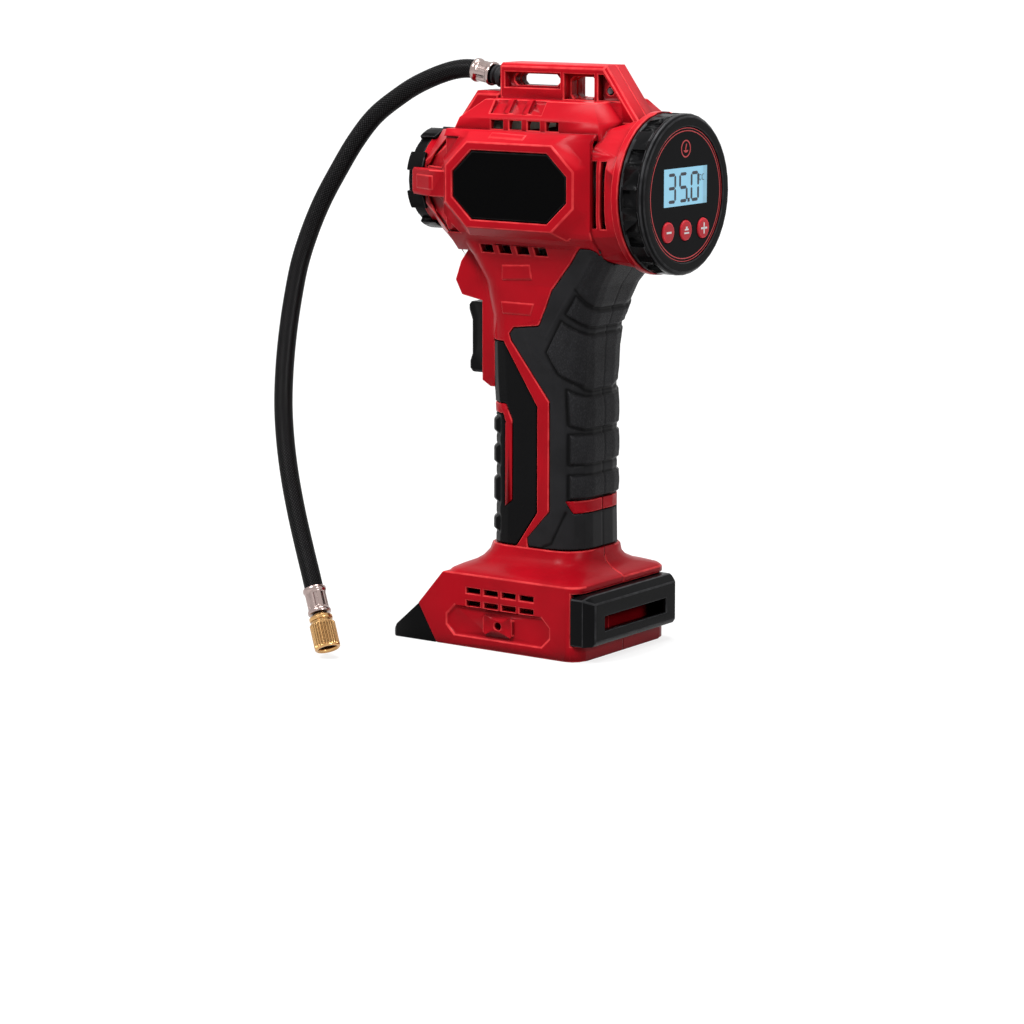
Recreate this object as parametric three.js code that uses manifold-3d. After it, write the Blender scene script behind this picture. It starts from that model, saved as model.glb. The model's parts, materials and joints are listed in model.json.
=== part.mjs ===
/**
 * A cordless pistol-grip tire inflator, as an assembly of separate pieces.
 *
 * Lengths are millimetres. +X points to the gauge face, +Y to the holder's right and +Z up.
 * The origin is on the floor, under the middle of the tool.
 */
import * as THREE from 'three';
import { mergeVertices } from 'three/addons/utils/BufferGeometryUtils.js';
import { ConvexGeometry } from 'three/addons/geometries/ConvexGeometry.js';
import Module from 'manifold-3d';

const wasm = await Module();
wasm.setup();

// ---------------------------------------------------------------- driving sizes

const GAP = 0.3; // clearance between two pieces that meet
const SPLIT = 0.15; // half the gap between the two housing halves
const ROUND = 24; // sides of a turned piece

const BARREL_Z = 204; // height of the nose's axis
const BARREL_HALF_WIDTH = 32.5;
const BARREL_FRONT_X = -38;
const BARREL_REAR_X = 38;
const BARREL_WALL = 2.5;

const GAUGE_DROP = 1.4; // of the gauge's axis below the nose's
const GAUGE_RADIUS = 34.6;
const GAUGE_STAND = 28; // of the gauge's face behind the barrel
const GAUGE_DEPTH = 12.2;
const GAUGE_RIM = 5.6; // width of the ring around the lens
const GAUGE_NOTCHES = 12;
const FLANGE_LEDGE = 0.4; // of the flange beyond the gauge's ring
const FLANGE_THICKNESS = 3.4;
const LENS_THICKNESS = 2;
const LENS_RECESS = 0.8;
const LCD_WIDTH = 33.7;
const LCD_HEIGHT = 16.1;
const LCD_RISE = 3.6; // of the display's middle above the gauge's axis
const BUTTON_RADIUS = 4.5;
const BUTTON_MARGIN = 3.97; // from the outer buttons to the lens's rim
const BUTTON_SPREAD = THREE.MathUtils.degToRad(42.24); // of the outer buttons from straight down
const BUTTON_TRAVEL = 0.6;
const DISPLAY_DEPTH = 4.6;
const BOARD_THICKNESS = 1.6;
const SPIGOT_DEPTH = 5;
const SPIGOT_WALL = 1.9;
const SENSOR_MARGIN = 10.8; // from the pressure sensor's middle up to the board's edge

const NOSE_RADIUS = 24;
const NOSE_X = -57;
const COLLAR_RADIUS = 21.3; // the round collar that the cap's lugs reach over
const COLLAR_X = -61.3;
const CAP_FACE_X = -68.4;
const CAP_RADIUS = 20.8;
const CAP_LUG_RADIUS = 22.8;
const CAP_LUG_X = -58.8; // where the lugs end
const CAP_LUGS = 8;
const CAP_SPIGOT_RADIUS = 15;
const NOSE_POCKET_DEPTH = 1.2;

const PANEL_HALF_LENGTH = 29.8;
const PANEL_HALF_HEIGHT = 14.7;
const PANEL_CUT_X = 10;
const PANEL_CUT_Z = 9.3;
const PANEL_THICKNESS = 1.8;
const FRAME_PROUD = 4; // of the panel's frame beyond the barrel's side
const PANEL_SEAT = 2.7; // depth of the panel's pocket in its frame
const FRAME_RIM = 3.8;

const HUMP_TOP = 37.3; // above the barrel's axis
const FIN_HEIGHT = 15.2; // of the fin's top above the hump
const FIN_HALF_WIDTH = 8.5;
const FIN_WEB_HALF = 4.6;
const FIN_FRONT_X = -27.2;
const FIN_REAR_X = 29;
const FIN_SLOPE_X = 46.5; // where the rear slope comes down to the flange
const FIN_BEVEL = 1.5;
/** The fin's slots, with how far their sides lie below its top. */
const HANG_SLOT = { x0: -21, x1: 3, low: 9.7, high: 4.7 };
const STRAP_SLOT = { x0: 9, x1: 22, low: 14.7, high: 5.3 };
const SLOT_CORNER = 1.8;

const RUBBER = 1.8; // thickness of the soft cover on the grip
const GRIP_WALL = 2.2;
const GRIP_FOOT_Z = 45.2;
const GRIP_HALF_WIDTH = 20.6;
const GRIP_CORNER = 13;

const FOOT_HALF_WIDTH = 36;
const FOOT_REAR_X = 34.6;
const FOOT_EDGE_Z = 33; // where the foot's upright sides end
const FOOT_FRONT_X = -37.7;
const FOOT_NOSE_X = -51.5;
const FOOT_NOSE_Z = 17;
const FOOT_CORNER = 7;
const FOOT_WALL = 2.5;
const TOE_TIP_X = -66;
const BAY_HALF_WIDTH = 27;
const BAY_MOUTH_HALF = 23.6;
const BAY_CEILING_Z = 16;
const BAY_REAR_X = 24;
const RAIL_HEIGHT = 4.5;
const REAR_COVER_X = 41.5;
const REAR_COVER_LOW_Z = 7.4;
const REAR_COVER_HIGH_Z = 29.8;
const REAR_SEAT_X = 30.8; // where the rear cover stands on the housing
const REAR_SLOT = { half: 24.3, z0: 13.5, z1: 20 };
const HOOK_X = -8; // where a belt hook's screw goes in
const HOOK_Z = 11.4;

const TRIGGER_TRAVEL = 6;
const TRIGGER_FACE_X = -44;
const TRIGGER_HALF_WIDTH = 7.4;
const TRIGGER_DROP = 69.5; // of its middle below the nose's axis
const TRIGGER_HEIGHT = 31.8;
const GUARD_FACE_X = -34.4;
const GUARD_HALF_WIDTH = 11;
const GUARD_WALL = 2.4;
const TRIGGER_LIP = 2;
const TRIGGER_FLANGE = 2.6;
const STEM_RADIUS = 3.6;
const SPRING_RADIUS = 5.2;
const SPRING_WIRE = 0.6;
const SPRING_TURNS = 5;
const SWITCH_FRONT_X = -15.9;
const SWITCH_REAR_X = 4;
const SWITCH_DROP = 1.5; // of the switch's middle below the trigger's
const SWITCH_HEIGHT = 22;

const GEAR_MODULE = 0.8;
const PINION_TEETH = 11;
const WHEEL_TEETH = 40;
const PRESSURE_ANGLE = 25; // degrees
const BACKLASH = 0.24;
const GEAR_WIDTH = 6;
const MOTOR_RADIUS = 17.8;
const MOTOR_FRONT_X = 2;
const MOTOR_LENGTH = 38;
const MOTOR_RISE = 5; // of the motor's axis above the barrel's
const SHAFT_RADIUS = 1.6;
const CRANK_THROW = 7;
const CRANK_SHAFT_RADIUS = 3;
const ROD_LENGTH = 24;
const ROD_THICKNESS = 5;
const PISTON_RADIUS = 8.7;
const PISTON_UP = 6; // from the wrist pin to the crown
const PISTON_DOWN = 5;
const BORE_RADIUS = 9;
const CYLINDER_RADIUS = 11.3;
const WRIST_PIN_RADIUS = 1.8;
const FRAME_PLATE = 3; // thickness of the pump frame
const PLATE_HALF = 18.4; // half width of the pump frame
const BEARING_RADIUS = 6.5;
const CRANK_PIN_RADIUS = 2.2;
const PIN_CLEARANCE = 0.6; // between the crank pin's end and the connecting rod
const WRIST_EYE_RADIUS = 3.6;
const GASKET_THICKNESS = 0.6;
const HEAD_HEIGHT = 6.6;
const RIB = 2.2;
const AIR_PIPE_RADIUS = 1.5;
const LEAD_RADIUS = 0.9;
const LEAD_X = 11;
const BLADE_REAR_X = 18;
const BLADE_LOW_Z = 8;
const BLADE_HIGH_Z = 13.6;

const HOSE_RADIUS = 4.2;
const FERRULE_RADIUS = 5.3;
const FERRULE_LENGTH = 10;
const BOOT_LENGTH = 8; // from the fin's front to the first ferrule
const BOOT_RADIUS = 5;
const OUTLET_COLLAR = 1.4; // how far the red collar around the outlet stands out
const CHUCK_RADIUS = 5.7;
const CHUCK_LENGTH = 16.4;
const CHUCK_SOCKET_RADIUS = 4;
const CHUCK_TIP = [-60.8, -89.3, 4];
const CHUCK_WAY = [0.467, -0.257, -0.846]; // the way the chuck's mouth faces
const END_FERRULE_LENGTH = 12;
const FITTING_RADIUS = 1.9;
const OUTLET_DROP = 7.1; // of the outlet below the fin's top
const OUTLET_TILT = THREE.MathUtils.degToRad(9.5);
/** The hose's own curl between its two fittings. */
const HOSE_ROUTE = [
  [-50.8, -0.4, 252.8],
  [-56.6, -1.3, 251.95],
  [-62.2, -2.5, 250.3],
  [-68.2, -3.9, 247.9],
  [-74.4, -5.5, 244.9],
  [-80.6, -7.3, 241],
  [-92.3, -12, 231.3],
  [-99.9, -16.6, 220.1],
  [-106.1, -22, 206.5],
  [-111.3, -27.2, 193],
  [-114.7, -32.2, 179.5],
  [-116.5, -37.4, 165.5],
  [-116.4, -43, 149.2],
  [-115.2, -48.3, 133.8],
  [-112.9, -53.6, 118.5],
  [-109.6, -58.6, 103.4],
  [-104.7, -63.4, 88.4],
  [-98.5, -68.1, 73.7],
  [-91.3, -72.6, 59.1],
  [-83.5, -76.9, 44.7],
];

const SCREW_RADIUS = 1.5;
const SCREW_HEAD_RADIUS = 2.8;
const SCREW_HEAD_HEIGHT = 2.2;
const BOSS_WALL = 1.5;
const CUT_REACH = 50; // how far a cutter reaches to each side, past everything it cuts

// ---------------------------------------------------------------- finishes

const finish = (color, roughness, metalness = 0) =>
  new THREE.MeshStandardMaterial({ color, roughness, metalness });
const RED_PLASTIC = finish('#c8102a', 0.42);
const BLACK_PLASTIC = finish('#17171a', 0.5);
const GLOSS_BLACK = finish('#060608', 0.12);
const RUBBER_GREY = finish('#2b2b2e', 0.85);
const BUTTON_RED = finish('#d3202f', 0.4);
const LCD_BLUE = finish('#86c8e6', 0.3);
const BOARD_GREEN = finish('#1f5a35', 0.55);
const STEEL = finish('#9a9ca0', 0.35, 1);
const DARK_STEEL = finish('#6a6c70', 0.45, 1);
const NICKEL = finish('#d8cdb8', 0.25, 1);
const BRASS = finish('#b58a3c', 0.35, 1);
const COPPER = finish('#b4643a', 0.4, 1);
const ALUMINIUM = finish('#b9bcc0', 0.45, 1);
const WHITE_NYLON = finish('#e4e0d4', 0.6);
const SEAL_RUBBER = finish('#101011', 0.8);
const LEAD_RED = finish('#b01818', 0.6);
const LEAD_BLACK = finish('#141414', 0.6);

// ---------------------------------------------------------------- solids

const vec = (x, y, z) => new THREE.Vector3(x, y, z);

/** A closed geometry as a solid, its faces turned outwards if they point in. */
function solid(geometry) {
  const bare = geometry.clone();
  bare.deleteAttribute('normal');
  bare.deleteAttribute('uv');
  const merged = mergeVertices(bare, 1e-4);
  const places = merged.attributes.position.array;
  const faces = Uint32Array.from(merged.index.array);
  const [a, b, c] = [vec(0, 0, 0), vec(0, 0, 0), vec(0, 0, 0)];
  let volume = 0;
  for (let i = 0; i < faces.length; i += 3) {
    a.fromArray(places, 3 * faces[i]);
    b.fromArray(places, 3 * faces[i + 1]);
    c.fromArray(places, 3 * faces[i + 2]);
    volume += a.dot(b.cross(c));
  }
  if (volume < 0) {
    for (let i = 0; i < faces.length; i += 3) {
      [faces[i], faces[i + 1]] = [faces[i + 1], faces[i]];
    }
  }
  const vertProperties = Float32Array.from(places);
  return new wasm.Manifold(new wasm.Mesh({ numProp: 3, vertProperties, triVerts: faces }));
}

const join = (first, ...others) => others.reduce((sum, shape) => sum.add(shape), first);
const cut = (first, ...others) => others.reduce((sum, shape) => sum.subtract(shape), first);
const common = (first, ...others) => others.reduce((sum, shape) => sum.intersect(shape), first);

/** A box from its lowest corner to its highest. */
function block(x0, x1, y0, y1, z0, z1) {
  const geometry = new THREE.BoxGeometry(x1 - x0, y1 - y0, z1 - z0);
  return solid(geometry.translate((x0 + x1) / 2, (y0 + y1) / 2, (z0 + z1) / 2));
}

/** An outline carried straight along the axis that the three directions' last one names. */
function prism(points, depth, across, up, along, start) {
  const shape = new THREE.Shape(points.map(([u, v]) => new THREE.Vector2(u, v)));
  const geometry = new THREE.ExtrudeGeometry(shape, { depth, bevelEnabled: false });
  geometry.applyMatrix4(new THREE.Matrix4().makeBasis(across, up, along));
  return solid(geometry.translate(...start.toArray()));
}

const X = vec(1, 0, 0);
const Y = vec(0, 1, 0);
const Z = vec(0, 0, 1);

/** Side outline in (x, z), from y0 to y1. */
const sidePlate = (points, y0, y1) => prism(points, y1 - y0, X, Z, vec(0, -1, 0), vec(0, y1, 0));
/** Plan outline in (x, y), from z0 to z1. */
const floorPlate = (points, z0, z1) => prism(points, z1 - z0, X, Y, Z, vec(0, 0, z0));
/** End outline in (y, z), from x0 to x1. */
const endPlate = (points, x0, x1) => prism(points, x1 - x0, Y, Z, X, vec(x0, 0, 0));

const convex = (points) => solid(new ConvexGeometry(points));
const endPoints = (points, x) => points.map(([y, z]) => vec(x, y, z));
const sidePoints = (points, y) => points.map(([x, z]) => vec(x, y, z));

/** Moves each edge of a counter-clockwise outline inwards by the distance, or outwards if it is negative. */
function inset(points, distance) {
  return points.map((point, i) => {
    const before = points.at(i - 1);
    const after = points[(i + 1) % points.length];
    const normals = [[before, point], [point, after]].map(([from, to]) => {
      const length = Math.hypot(to[0] - from[0], to[1] - from[1]);
      return [(from[1] - to[1]) / length, (to[0] - from[0]) / length];
    });
    const [m, n] = normals;
    const reach = distance / (1 + m[0] * n[0] + m[1] * n[1]);
    return [point[0] + reach * (m[0] + n[0]), point[1] + reach * (m[1] + n[1])];
  });
}

/** Mirrors a half outline, listed upwards on the right, to a whole one about its second axis. */
const mirrored = (half) => [...half, ...half.toReversed().map(([u, v]) => [-u, v])];

const octagon = (u, v, halfU, halfV, cutU, cutV) => [
  [u - halfU + cutU, v - halfV],
  [u + halfU - cutU, v - halfV],
  [u + halfU, v - halfV + cutV],
  [u + halfU, v + halfV - cutV],
  [u + halfU - cutU, v + halfV],
  [u - halfU + cutU, v + halfV],
  [u - halfU, v + halfV - cutV],
  [u - halfU, v - halfV + cutV],
];

const circle = (u, v, radius, sides = ROUND, turn = 0) =>
  Array.from({ length: sides }, (_, i) => {
    const angle = turn + (2 * Math.PI * i) / sides;
    return [u + radius * Math.cos(angle), v + radius * Math.sin(angle)];
  });

/** A ring of points with rounded corners at one height, between a front and a rear x. */
function roundedRing(z, front, rear, half, corner, steps = 3) {
  const ring = [];
  const centres = [[rear - corner, half - corner], [front + corner, half - corner],
    [front + corner, corner - half], [rear - corner, corner - half]];
  centres.forEach(([x, y], quarter) => {
    for (let i = 0; i <= steps; i += 1) {
      const angle = (Math.PI / 2) * (quarter + i / steps);
      ring.push(vec(x + corner * Math.cos(angle), y + corner * Math.sin(angle), z));
    }
  });
  return ring;
}

/** Skins rings of as many points each, and closes the first and last with a fan. */
function loft(rings) {
  const count = rings[0].length;
  const places = rings.flat().flatMap((point) => point.toArray());
  const faces = [];
  for (let row = 0; row < rings.length - 1; row += 1) {
    for (let i = 0; i < count; i += 1) {
      const [a, b] = [row * count + i, row * count + ((i + 1) % count)];
      faces.push(a, b, b + count, a, b + count, a + count);
    }
  }
  const last = (rings.length - 1) * count;
  for (let i = 1; i < count - 1; i += 1) {
    faces.push(0, i + 1, i, last, last + i, last + i + 1);
  }
  const geometry = new THREE.BufferGeometry();
  geometry.setAttribute('position', new THREE.Float32BufferAttribute(places, 3));
  geometry.setIndex(faces);
  return solid(geometry);
}

/** A profile of [radius, distance] turned about the line from a point in a direction. */
function turned(profile, from, direction, sides = ROUND) {
  const geometry = new THREE.LatheGeometry(profile.map(([r, s]) => new THREE.Vector2(r, s)), sides);
  const turn = new THREE.Quaternion().setFromUnitVectors(Y, direction.clone().normalize());
  return solid(geometry.applyQuaternion(turn).translate(...from.toArray()));
}

/** A plain rod between two points. */
function rod(radius, from, to, sides = ROUND) {
  const direction = to.clone().sub(from);
  const length = direction.length();
  return turned([[0, 0], [radius, 0], [radius, length], [0, length]], from, direction, sides);
}

/** A washer, sleeve or ring: a rod with a bore through it. */
function sleeve(outer, inner, from, to, sides = ROUND) {
  const length = to.distanceTo(from);
  const profile = [[inner, 0], [outer, 0], [outer, length], [inner, length], [inner, 0]];
  return turned(profile, from, to.clone().sub(from), sides);
}

/** A round tube along a smooth curve through the points. */
function tube(points, radius, sides, steps) {
  const shape = new THREE.Shape(circle(0, 0, radius, sides).map(([u, v]) => new THREE.Vector2(u, v)));
  const extrudePath = new THREE.CatmullRomCurve3(points, false, 'centripetal');
  return solid(new THREE.ExtrudeGeometry(shape, { steps, extrudePath, bevelEnabled: false }));
}

const inflator = new THREE.Group();

/** Puts a finished piece into the assembly under its own name. */
function piece(name, material, shape) {
  const mesh = shape.getMesh();
  const geometry = new THREE.BufferGeometry();
  geometry.setAttribute('position', new THREE.Float32BufferAttribute(mesh.vertProperties, 3));
  geometry.setIndex(Array.from(mesh.triVerts));
  geometry.computeVertexNormals();
  const sub = new THREE.Mesh(geometry, material);
  sub.name = name;
  inflator.add(sub);
}

// ---------------------------------------------------------------- the barrel

const up = (z) => BARREL_Z + z;
const raise = (points) => points.map(([u, v]) => [u, up(v)]);
const bothSides = (makeSide) => join(makeSide(-1), makeSide(1));

const gaugeZ = BARREL_Z - GAUGE_DROP;
const gaugeFaceX = BARREL_REAR_X + GAUGE_STAND;
const flangeX = gaugeFaceX - GAUGE_DEPTH - GAP - FLANGE_THICKNESS;
const flangeRadius = GAUGE_RADIUS + FLANGE_LEDGE;
const frameFaceY = BARREL_HALF_WIDTH + FRAME_PROUD;
const humpTopZ = up(HUMP_TOP);
const finTopZ = humpTopZ + FIN_HEIGHT;

/** A point of a half section: how far inside the barrel's widest place, and the height above its axis. */
const within = (inwards, rise) => [BARREL_HALF_WIDTH - inwards, rise];
const CORE_HALF = [within(10.5, -29), within(1.5, -20), within(0, -17), within(0, 21), within(2, 24.5),
  within(5.5, 24.5)];
const HUMP_HALVES = [within(5.5, 20), within(5.5, HUMP_TOP - 8), within(11.5, HUMP_TOP)];
const NECK_HALF = [within(10.5, -29), within(1.5, -19), within(1.5, 19), within(8.5, 24.5)];
/** How far the hump reaches past the barrel's front and rear at each of its heights. */
const HUMP_REACHES = [[2, 2], [-3, 0.5], [-13, -6.5]];

const frameFace = (t) => inset(octagon(-1.8, up(1.1), PANEL_HALF_LENGTH + FRAME_RIM,
  PANEL_HALF_HEIGHT + FRAME_RIM, PANEL_CUT_X + 1.4, PANEL_CUT_Z + 1.4), t);
const frameBase = (t) => inset(octagon(-0.5, up(1.3), 40, 22.6, 14, 13), t);
const panelOutline = (t) => inset(octagon(-1.8, up(1.1), PANEL_HALF_LENGTH, PANEL_HALF_HEIGHT,
  PANEL_CUT_X, PANEL_CUT_Z), t);

/** The raised frame around one side panel, t inside its own surface. */
function sideFrame(side, t) {
  const base = BARREL_HALF_WIDTH - 5;
  const face = t > 0 ? frameFaceY - PANEL_SEAT - t : frameFaceY;
  return convex([
    ...sidePoints(frameFace(t), side * face),
    ...sidePoints(frameBase(t), side * (BARREL_HALF_WIDTH - 1.5 - t)),
    ...sidePoints(frameBase(t), side * base),
  ]);
}

/** The whole barrel, from the nose to the gauge flange, t inside its outer surface. */
function barrel(t) {
  const core = endPlate(inset(raise(mirrored(CORE_HALF)), t), BARREL_FRONT_X - 1, BARREL_REAR_X);
  const spans = HUMP_REACHES.map(([front, rear]) => [BARREL_FRONT_X - front + t, BARREL_REAR_X + rear - t]);
  const hump = convex(HUMP_HALVES.flatMap(([y, z], i) => spans[i].flatMap((x) => [-1, 1].map((side) => (
    vec(x, side * (y - t), up(z - t)))))));
  const nose = convex([
    ...endPoints(inset(raise(mirrored(NECK_HALF)), t), BARREL_FRONT_X),
    ...endPoints(circle(0, BARREL_Z, NOSE_RADIUS - t, 8, Math.PI / 8), NOSE_X + t),
  ]);
  const neck = convex([
    ...endPoints(inset(raise(mirrored(NECK_HALF)), t), BARREL_REAR_X - 4),
    ...endPoints(circle(0, gaugeZ, flangeRadius - 1.6 - t), flangeX + 0.5),
  ]);
  return join(core, hump, nose, neck, bothSides((side) => sideFrame(side, t)));
}

/** Shallow pockets above and below each nose tab, between the nose's ridges and the panel's frame. */
function nosePockets() {
  const areas = [
    [[-54.3, up(7.3)], [-43.6, up(7.3)], [-31, up(21.3)], [-41.4, up(21.3)]],
    [[-54.6, up(-6.4)], [-42, up(-20.5)], [-32, up(-20.5)], [-44, up(-6.4)]],
  ];
  return cut(join(...areas.map((area) => throughPlate(area))), barrel(NOSE_POCKET_DEPTH));
}

/** Four equal openings in a row on both sides of the barrel. */
function ventRow(first, pitch, width, z0, z1, y0) {
  const slots = [];
  for (let i = 0; i < 4; i += 1) {
    const x = first + i * pitch;
    slots.push(block(x, x + width, y0, y0 + 12, z0, z1), block(x, x + width, -y0 - 12, -y0, z0, z1));
  }
  return join(...slots);
}

/** Three hollows scooped out of each upper edge of the hump. */
function humpScoops() {
  const fromTop = (inwards, rise) => within(inwards, HUMP_TOP + rise);
  const hollow = raise([fromTop(13.9, -0.3), fromTop(13.1, -1.9), fromTop(8.3, -6.3), fromTop(5.5, -4.9),
    fromTop(5.5, 1.3), fromTop(13.9, 1.3)]);
  const scoops = [];
  for (const x of [-19.5, -9.5, 0.5]) {
    scoops.push(endPlate(hollow, x, x + 7));
    scoops.push(endPlate(hollow.map(([y, z]) => [-y, z]).toReversed(), x, x + 7));
  }
  return join(...scoops);
}

// ---------------------------------------------------------------- the fin on top

/** A convex side outline made a plate, its outer edges bevelled. */
function bevelledPlate(points, half, bevel) {
  return convex([
    ...sidePoints(points, half - bevel),
    ...sidePoints(points, bevel - half),
    ...sidePoints(inset(points, bevel), half),
    ...sidePoints(inset(points, bevel), -half),
  ]);
}

/** The keel that carries the hose outlet and two slots to hang the tool by. */
function fin() {
  const root = up(27);
  const rail = [[FIN_FRONT_X, root], [FIN_SLOPE_X, root], [FIN_SLOPE_X, up(28.6)],
    [FIN_REAR_X, finTopZ], [FIN_FRONT_X + 1.4, finTopZ], [FIN_FRONT_X, finTopZ - 1.4]];
  const keelTopZ = humpTopZ + 2.6;
  const keel = [[FIN_FRONT_X - 23.3, up(22)], [FIN_FRONT_X + 1, up(22)], [FIN_FRONT_X + 1, keelTopZ],
    [FIN_FRONT_X - 12.1, keelTopZ], [FIN_FRONT_X - 23.3, up(25.5)]];
  return join(bevelledPlate(rail, FIN_HALF_WIDTH, FIN_BEVEL), bevelledPlate(keel, FIN_HALF_WIDTH, FIN_BEVEL));
}

/** What is taken out of the fin: the side recesses down to its web, and the two slots. */
function finOpenings() {
  const railZ = finTopZ - 4;
  const floorZ = humpTopZ + GAP;
  const rectangle = (x0, x1, z0) => [[x0, z0], [x1, z0], [x1, railZ], [x0, railZ]];
  const recesses = [
    rectangle(FIN_FRONT_X + 3.6, HANG_SLOT.x1 + 2.6, finTopZ - HANG_SLOT.low - 0.8),
    rectangle(STRAP_SLOT.x0 - 1.2, STRAP_SLOT.x1 + 1.4, floorZ),
    [[FIN_REAR_X - 3.4, floorZ], [FIN_REAR_X + 7.6, floorZ], [FIN_REAR_X - 0.6, railZ],
      [FIN_REAR_X - 3.4, railZ]],
  ];
  const pockets = recesses.flatMap((outline) => [
    sidePlate(outline, FIN_WEB_HALF, FIN_HALF_WIDTH + 1),
    sidePlate(outline, -FIN_HALF_WIDTH - 1, -FIN_WEB_HALF),
  ]);
  const slots = [HANG_SLOT, STRAP_SLOT].map(({ x0, x1, low, high }) => sidePlate(octagon((x0 + x1) / 2,
    finTopZ - (low + high) / 2, (x1 - x0) / 2, (low - high) / 2, SLOT_CORNER, SLOT_CORNER),
  -FIN_HALF_WIDTH - 1, FIN_HALF_WIDTH + 1));
  return join(...pockets, ...slots);
}

// ---------------------------------------------------------------- the grip

/** Half width of the neck where it has widened by a share of the way from the grip to the barrel. */
const flare = (share) => GRIP_HALF_WIDTH + share * (BARREL_HALF_WIDTH - GRIP_HALF_WIDTH);

/** Sections of the grip and the neck above it: height, front x, rear x, half width, corner radius. */
const GRIP_SECTIONS = [
  [GRIP_FOOT_Z, -26, 23.6, GRIP_HALF_WIDTH + 0.3, GRIP_CORNER],
  [GRIP_FOOT_Z + 16.8, -26, 23.4, GRIP_HALF_WIDTH + 0.1, GRIP_CORNER],
  [up(-104), -26, 23.4, GRIP_HALF_WIDTH, GRIP_CORNER],
  [up(-94), -26.5, 23.2, GRIP_HALF_WIDTH, GRIP_CORNER],
  [up(-84), -27.2, 22.8, GRIP_HALF_WIDTH, GRIP_CORNER],
  [up(-70), -27.2, 23.2, GRIP_HALF_WIDTH, GRIP_CORNER - 0.5],
  [up(-57), -27, 26, GRIP_HALF_WIDTH + 0.1, GRIP_CORNER - 1],
  [up(-42), -29.5, 32.6, flare(0.1), GRIP_CORNER - 2],
  [up(-31), -34.5, 40.5, flare(0.286), GRIP_CORNER - 3],
  [up(-25), -38, 44, flare(0.538), GRIP_CORNER - 3],
  [up(-17), -43, 45, flare(0.79), GRIP_CORNER - 4],
];

/** The grip as one smooth form, t inside its surface, between two heights. */
function grip(t, low, high) {
  const ring = ([z, front, rear, half, corner]) =>
    roundedRing(z, front + t, rear - t, half - t, corner - t, 4);
  const inside = GRIP_SECTIONS.filter(([z]) => z > low + 0.5 && z < high - 0.5);
  const [bottom, top] = [GRIP_SECTIONS[0], GRIP_SECTIONS.at(-1)];
  const lowest = low < bottom[0] + 0.5 ? bottom : inside[0];
  const highest = high > top[0] - 0.5 ? top : inside.at(-1);
  return loft([[low, ...lowest.slice(1)], ...inside, [high, ...highest.slice(1)]].map(ring));
}

const gripTop = up(-17);

/** Side outlines on the grip, as [x, z], counter-clockwise. */
const REAR_COVER_AREA = [[-2, GRIP_FOOT_Z], [60, GRIP_FOOT_Z], [60, up(-23)], [31.5, up(-23)],
  [27.5, up(-26)], [11, up(-44)], [7.4, up(-52)], [3.2, up(-60.4)], [-10.2, up(-62)],
  [-12.4, up(-64.6)], [-11.4, up(-67.6)], [9, up(-93)], [9, GRIP_FOOT_Z + 16.8], [-2.5, GRIP_FOOT_Z + 4.3]];
const FRONT_COVER_AREA = [[-60, GRIP_FOOT_Z], [-9, GRIP_FOOT_Z], [2, GRIP_FOOT_Z + 15.8], [2, up(-96)],
  [-16, up(-68.5)], [-22.6, up(-68.5)], [-22.6, up(-90.5)], [-24, up(-93)], [-60, up(-93)]];
const CHANNEL_AREA = [[-15, GRIP_FOOT_Z + 17.3], [-11, GRIP_FOOT_Z + 20.8], [-11, up(-103)], [-14.5, up(-96)],
  [-60, up(-96)], [-60, up(-100.4)], [-16.4, up(-100.4)], [-15, up(-104)]];
const BAND_AREA = [[19.4, GRIP_FOOT_Z + 16.8], [60, GRIP_FOOT_Z + 16.8], [60, GRIP_FOOT_Z + 22.2],
  [16.4, GRIP_FOOT_Z + 22.2]];

/** A side outline carried through the whole tool. */
const throughPlate = (outline) => sidePlate(outline, -CUT_REACH, CUT_REACH);

/** The hollows in the hard grip that the soft covers lie in, with the clearance around them. */
function coverSeats() {
  const body = grip(RUBBER + GAP, GRIP_FOOT_Z - 6, gripTop);
  const rear = cut(throughPlate(inset(REAR_COVER_AREA, -GAP)), throughPlate(BAND_AREA), body);
  const front = cut(throughPlate(inset(FRONT_COVER_AREA, -GAP)), throughPlate(CHANNEL_AREA), body);
  return join(rear, front);
}

/** The red guard in front of the grip, which the trigger slides in. */
function triggerGuard(t = 0) {
  const outline = [[-20, up(-90.5)], [-20, up(-22)], [-36, up(-22)], [-46, up(-35.5)], [-49, up(-44)],
    [-45.5, up(-50.5)], [GUARD_FACE_X, up(-52.5)], [GUARD_FACE_X, up(-88)], [-30, up(-90.5)]];
  const half = GUARD_HALF_WIDTH - t;
  return sidePlate(inset(outline, t), -half, half);
}

// ---------------------------------------------------------------- the foot

const FOOT_SIDE = [[-41.5, 0], [FOOT_REAR_X, 0], [FOOT_REAR_X, FOOT_EDGE_Z], [FOOT_FRONT_X, FOOT_EDGE_Z],
  [FOOT_NOSE_X, FOOT_NOSE_Z]];

/** The foot's block with rounded rear corners, t inside its surface. */
function footBlock(t) {
  const plan = roundedRing(0, -90, FOOT_REAR_X - t, FOOT_HALF_WIDTH - t, FOOT_CORNER - t)
    .map(({ x, y }) => [x, y]);
  const half = FOOT_HALF_WIDTH + 1;
  return common(sidePlate(inset(FOOT_SIDE, t), -half, half), floorPlate(plan, -1, FOOT_EDGE_Z + 1));
}

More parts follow.
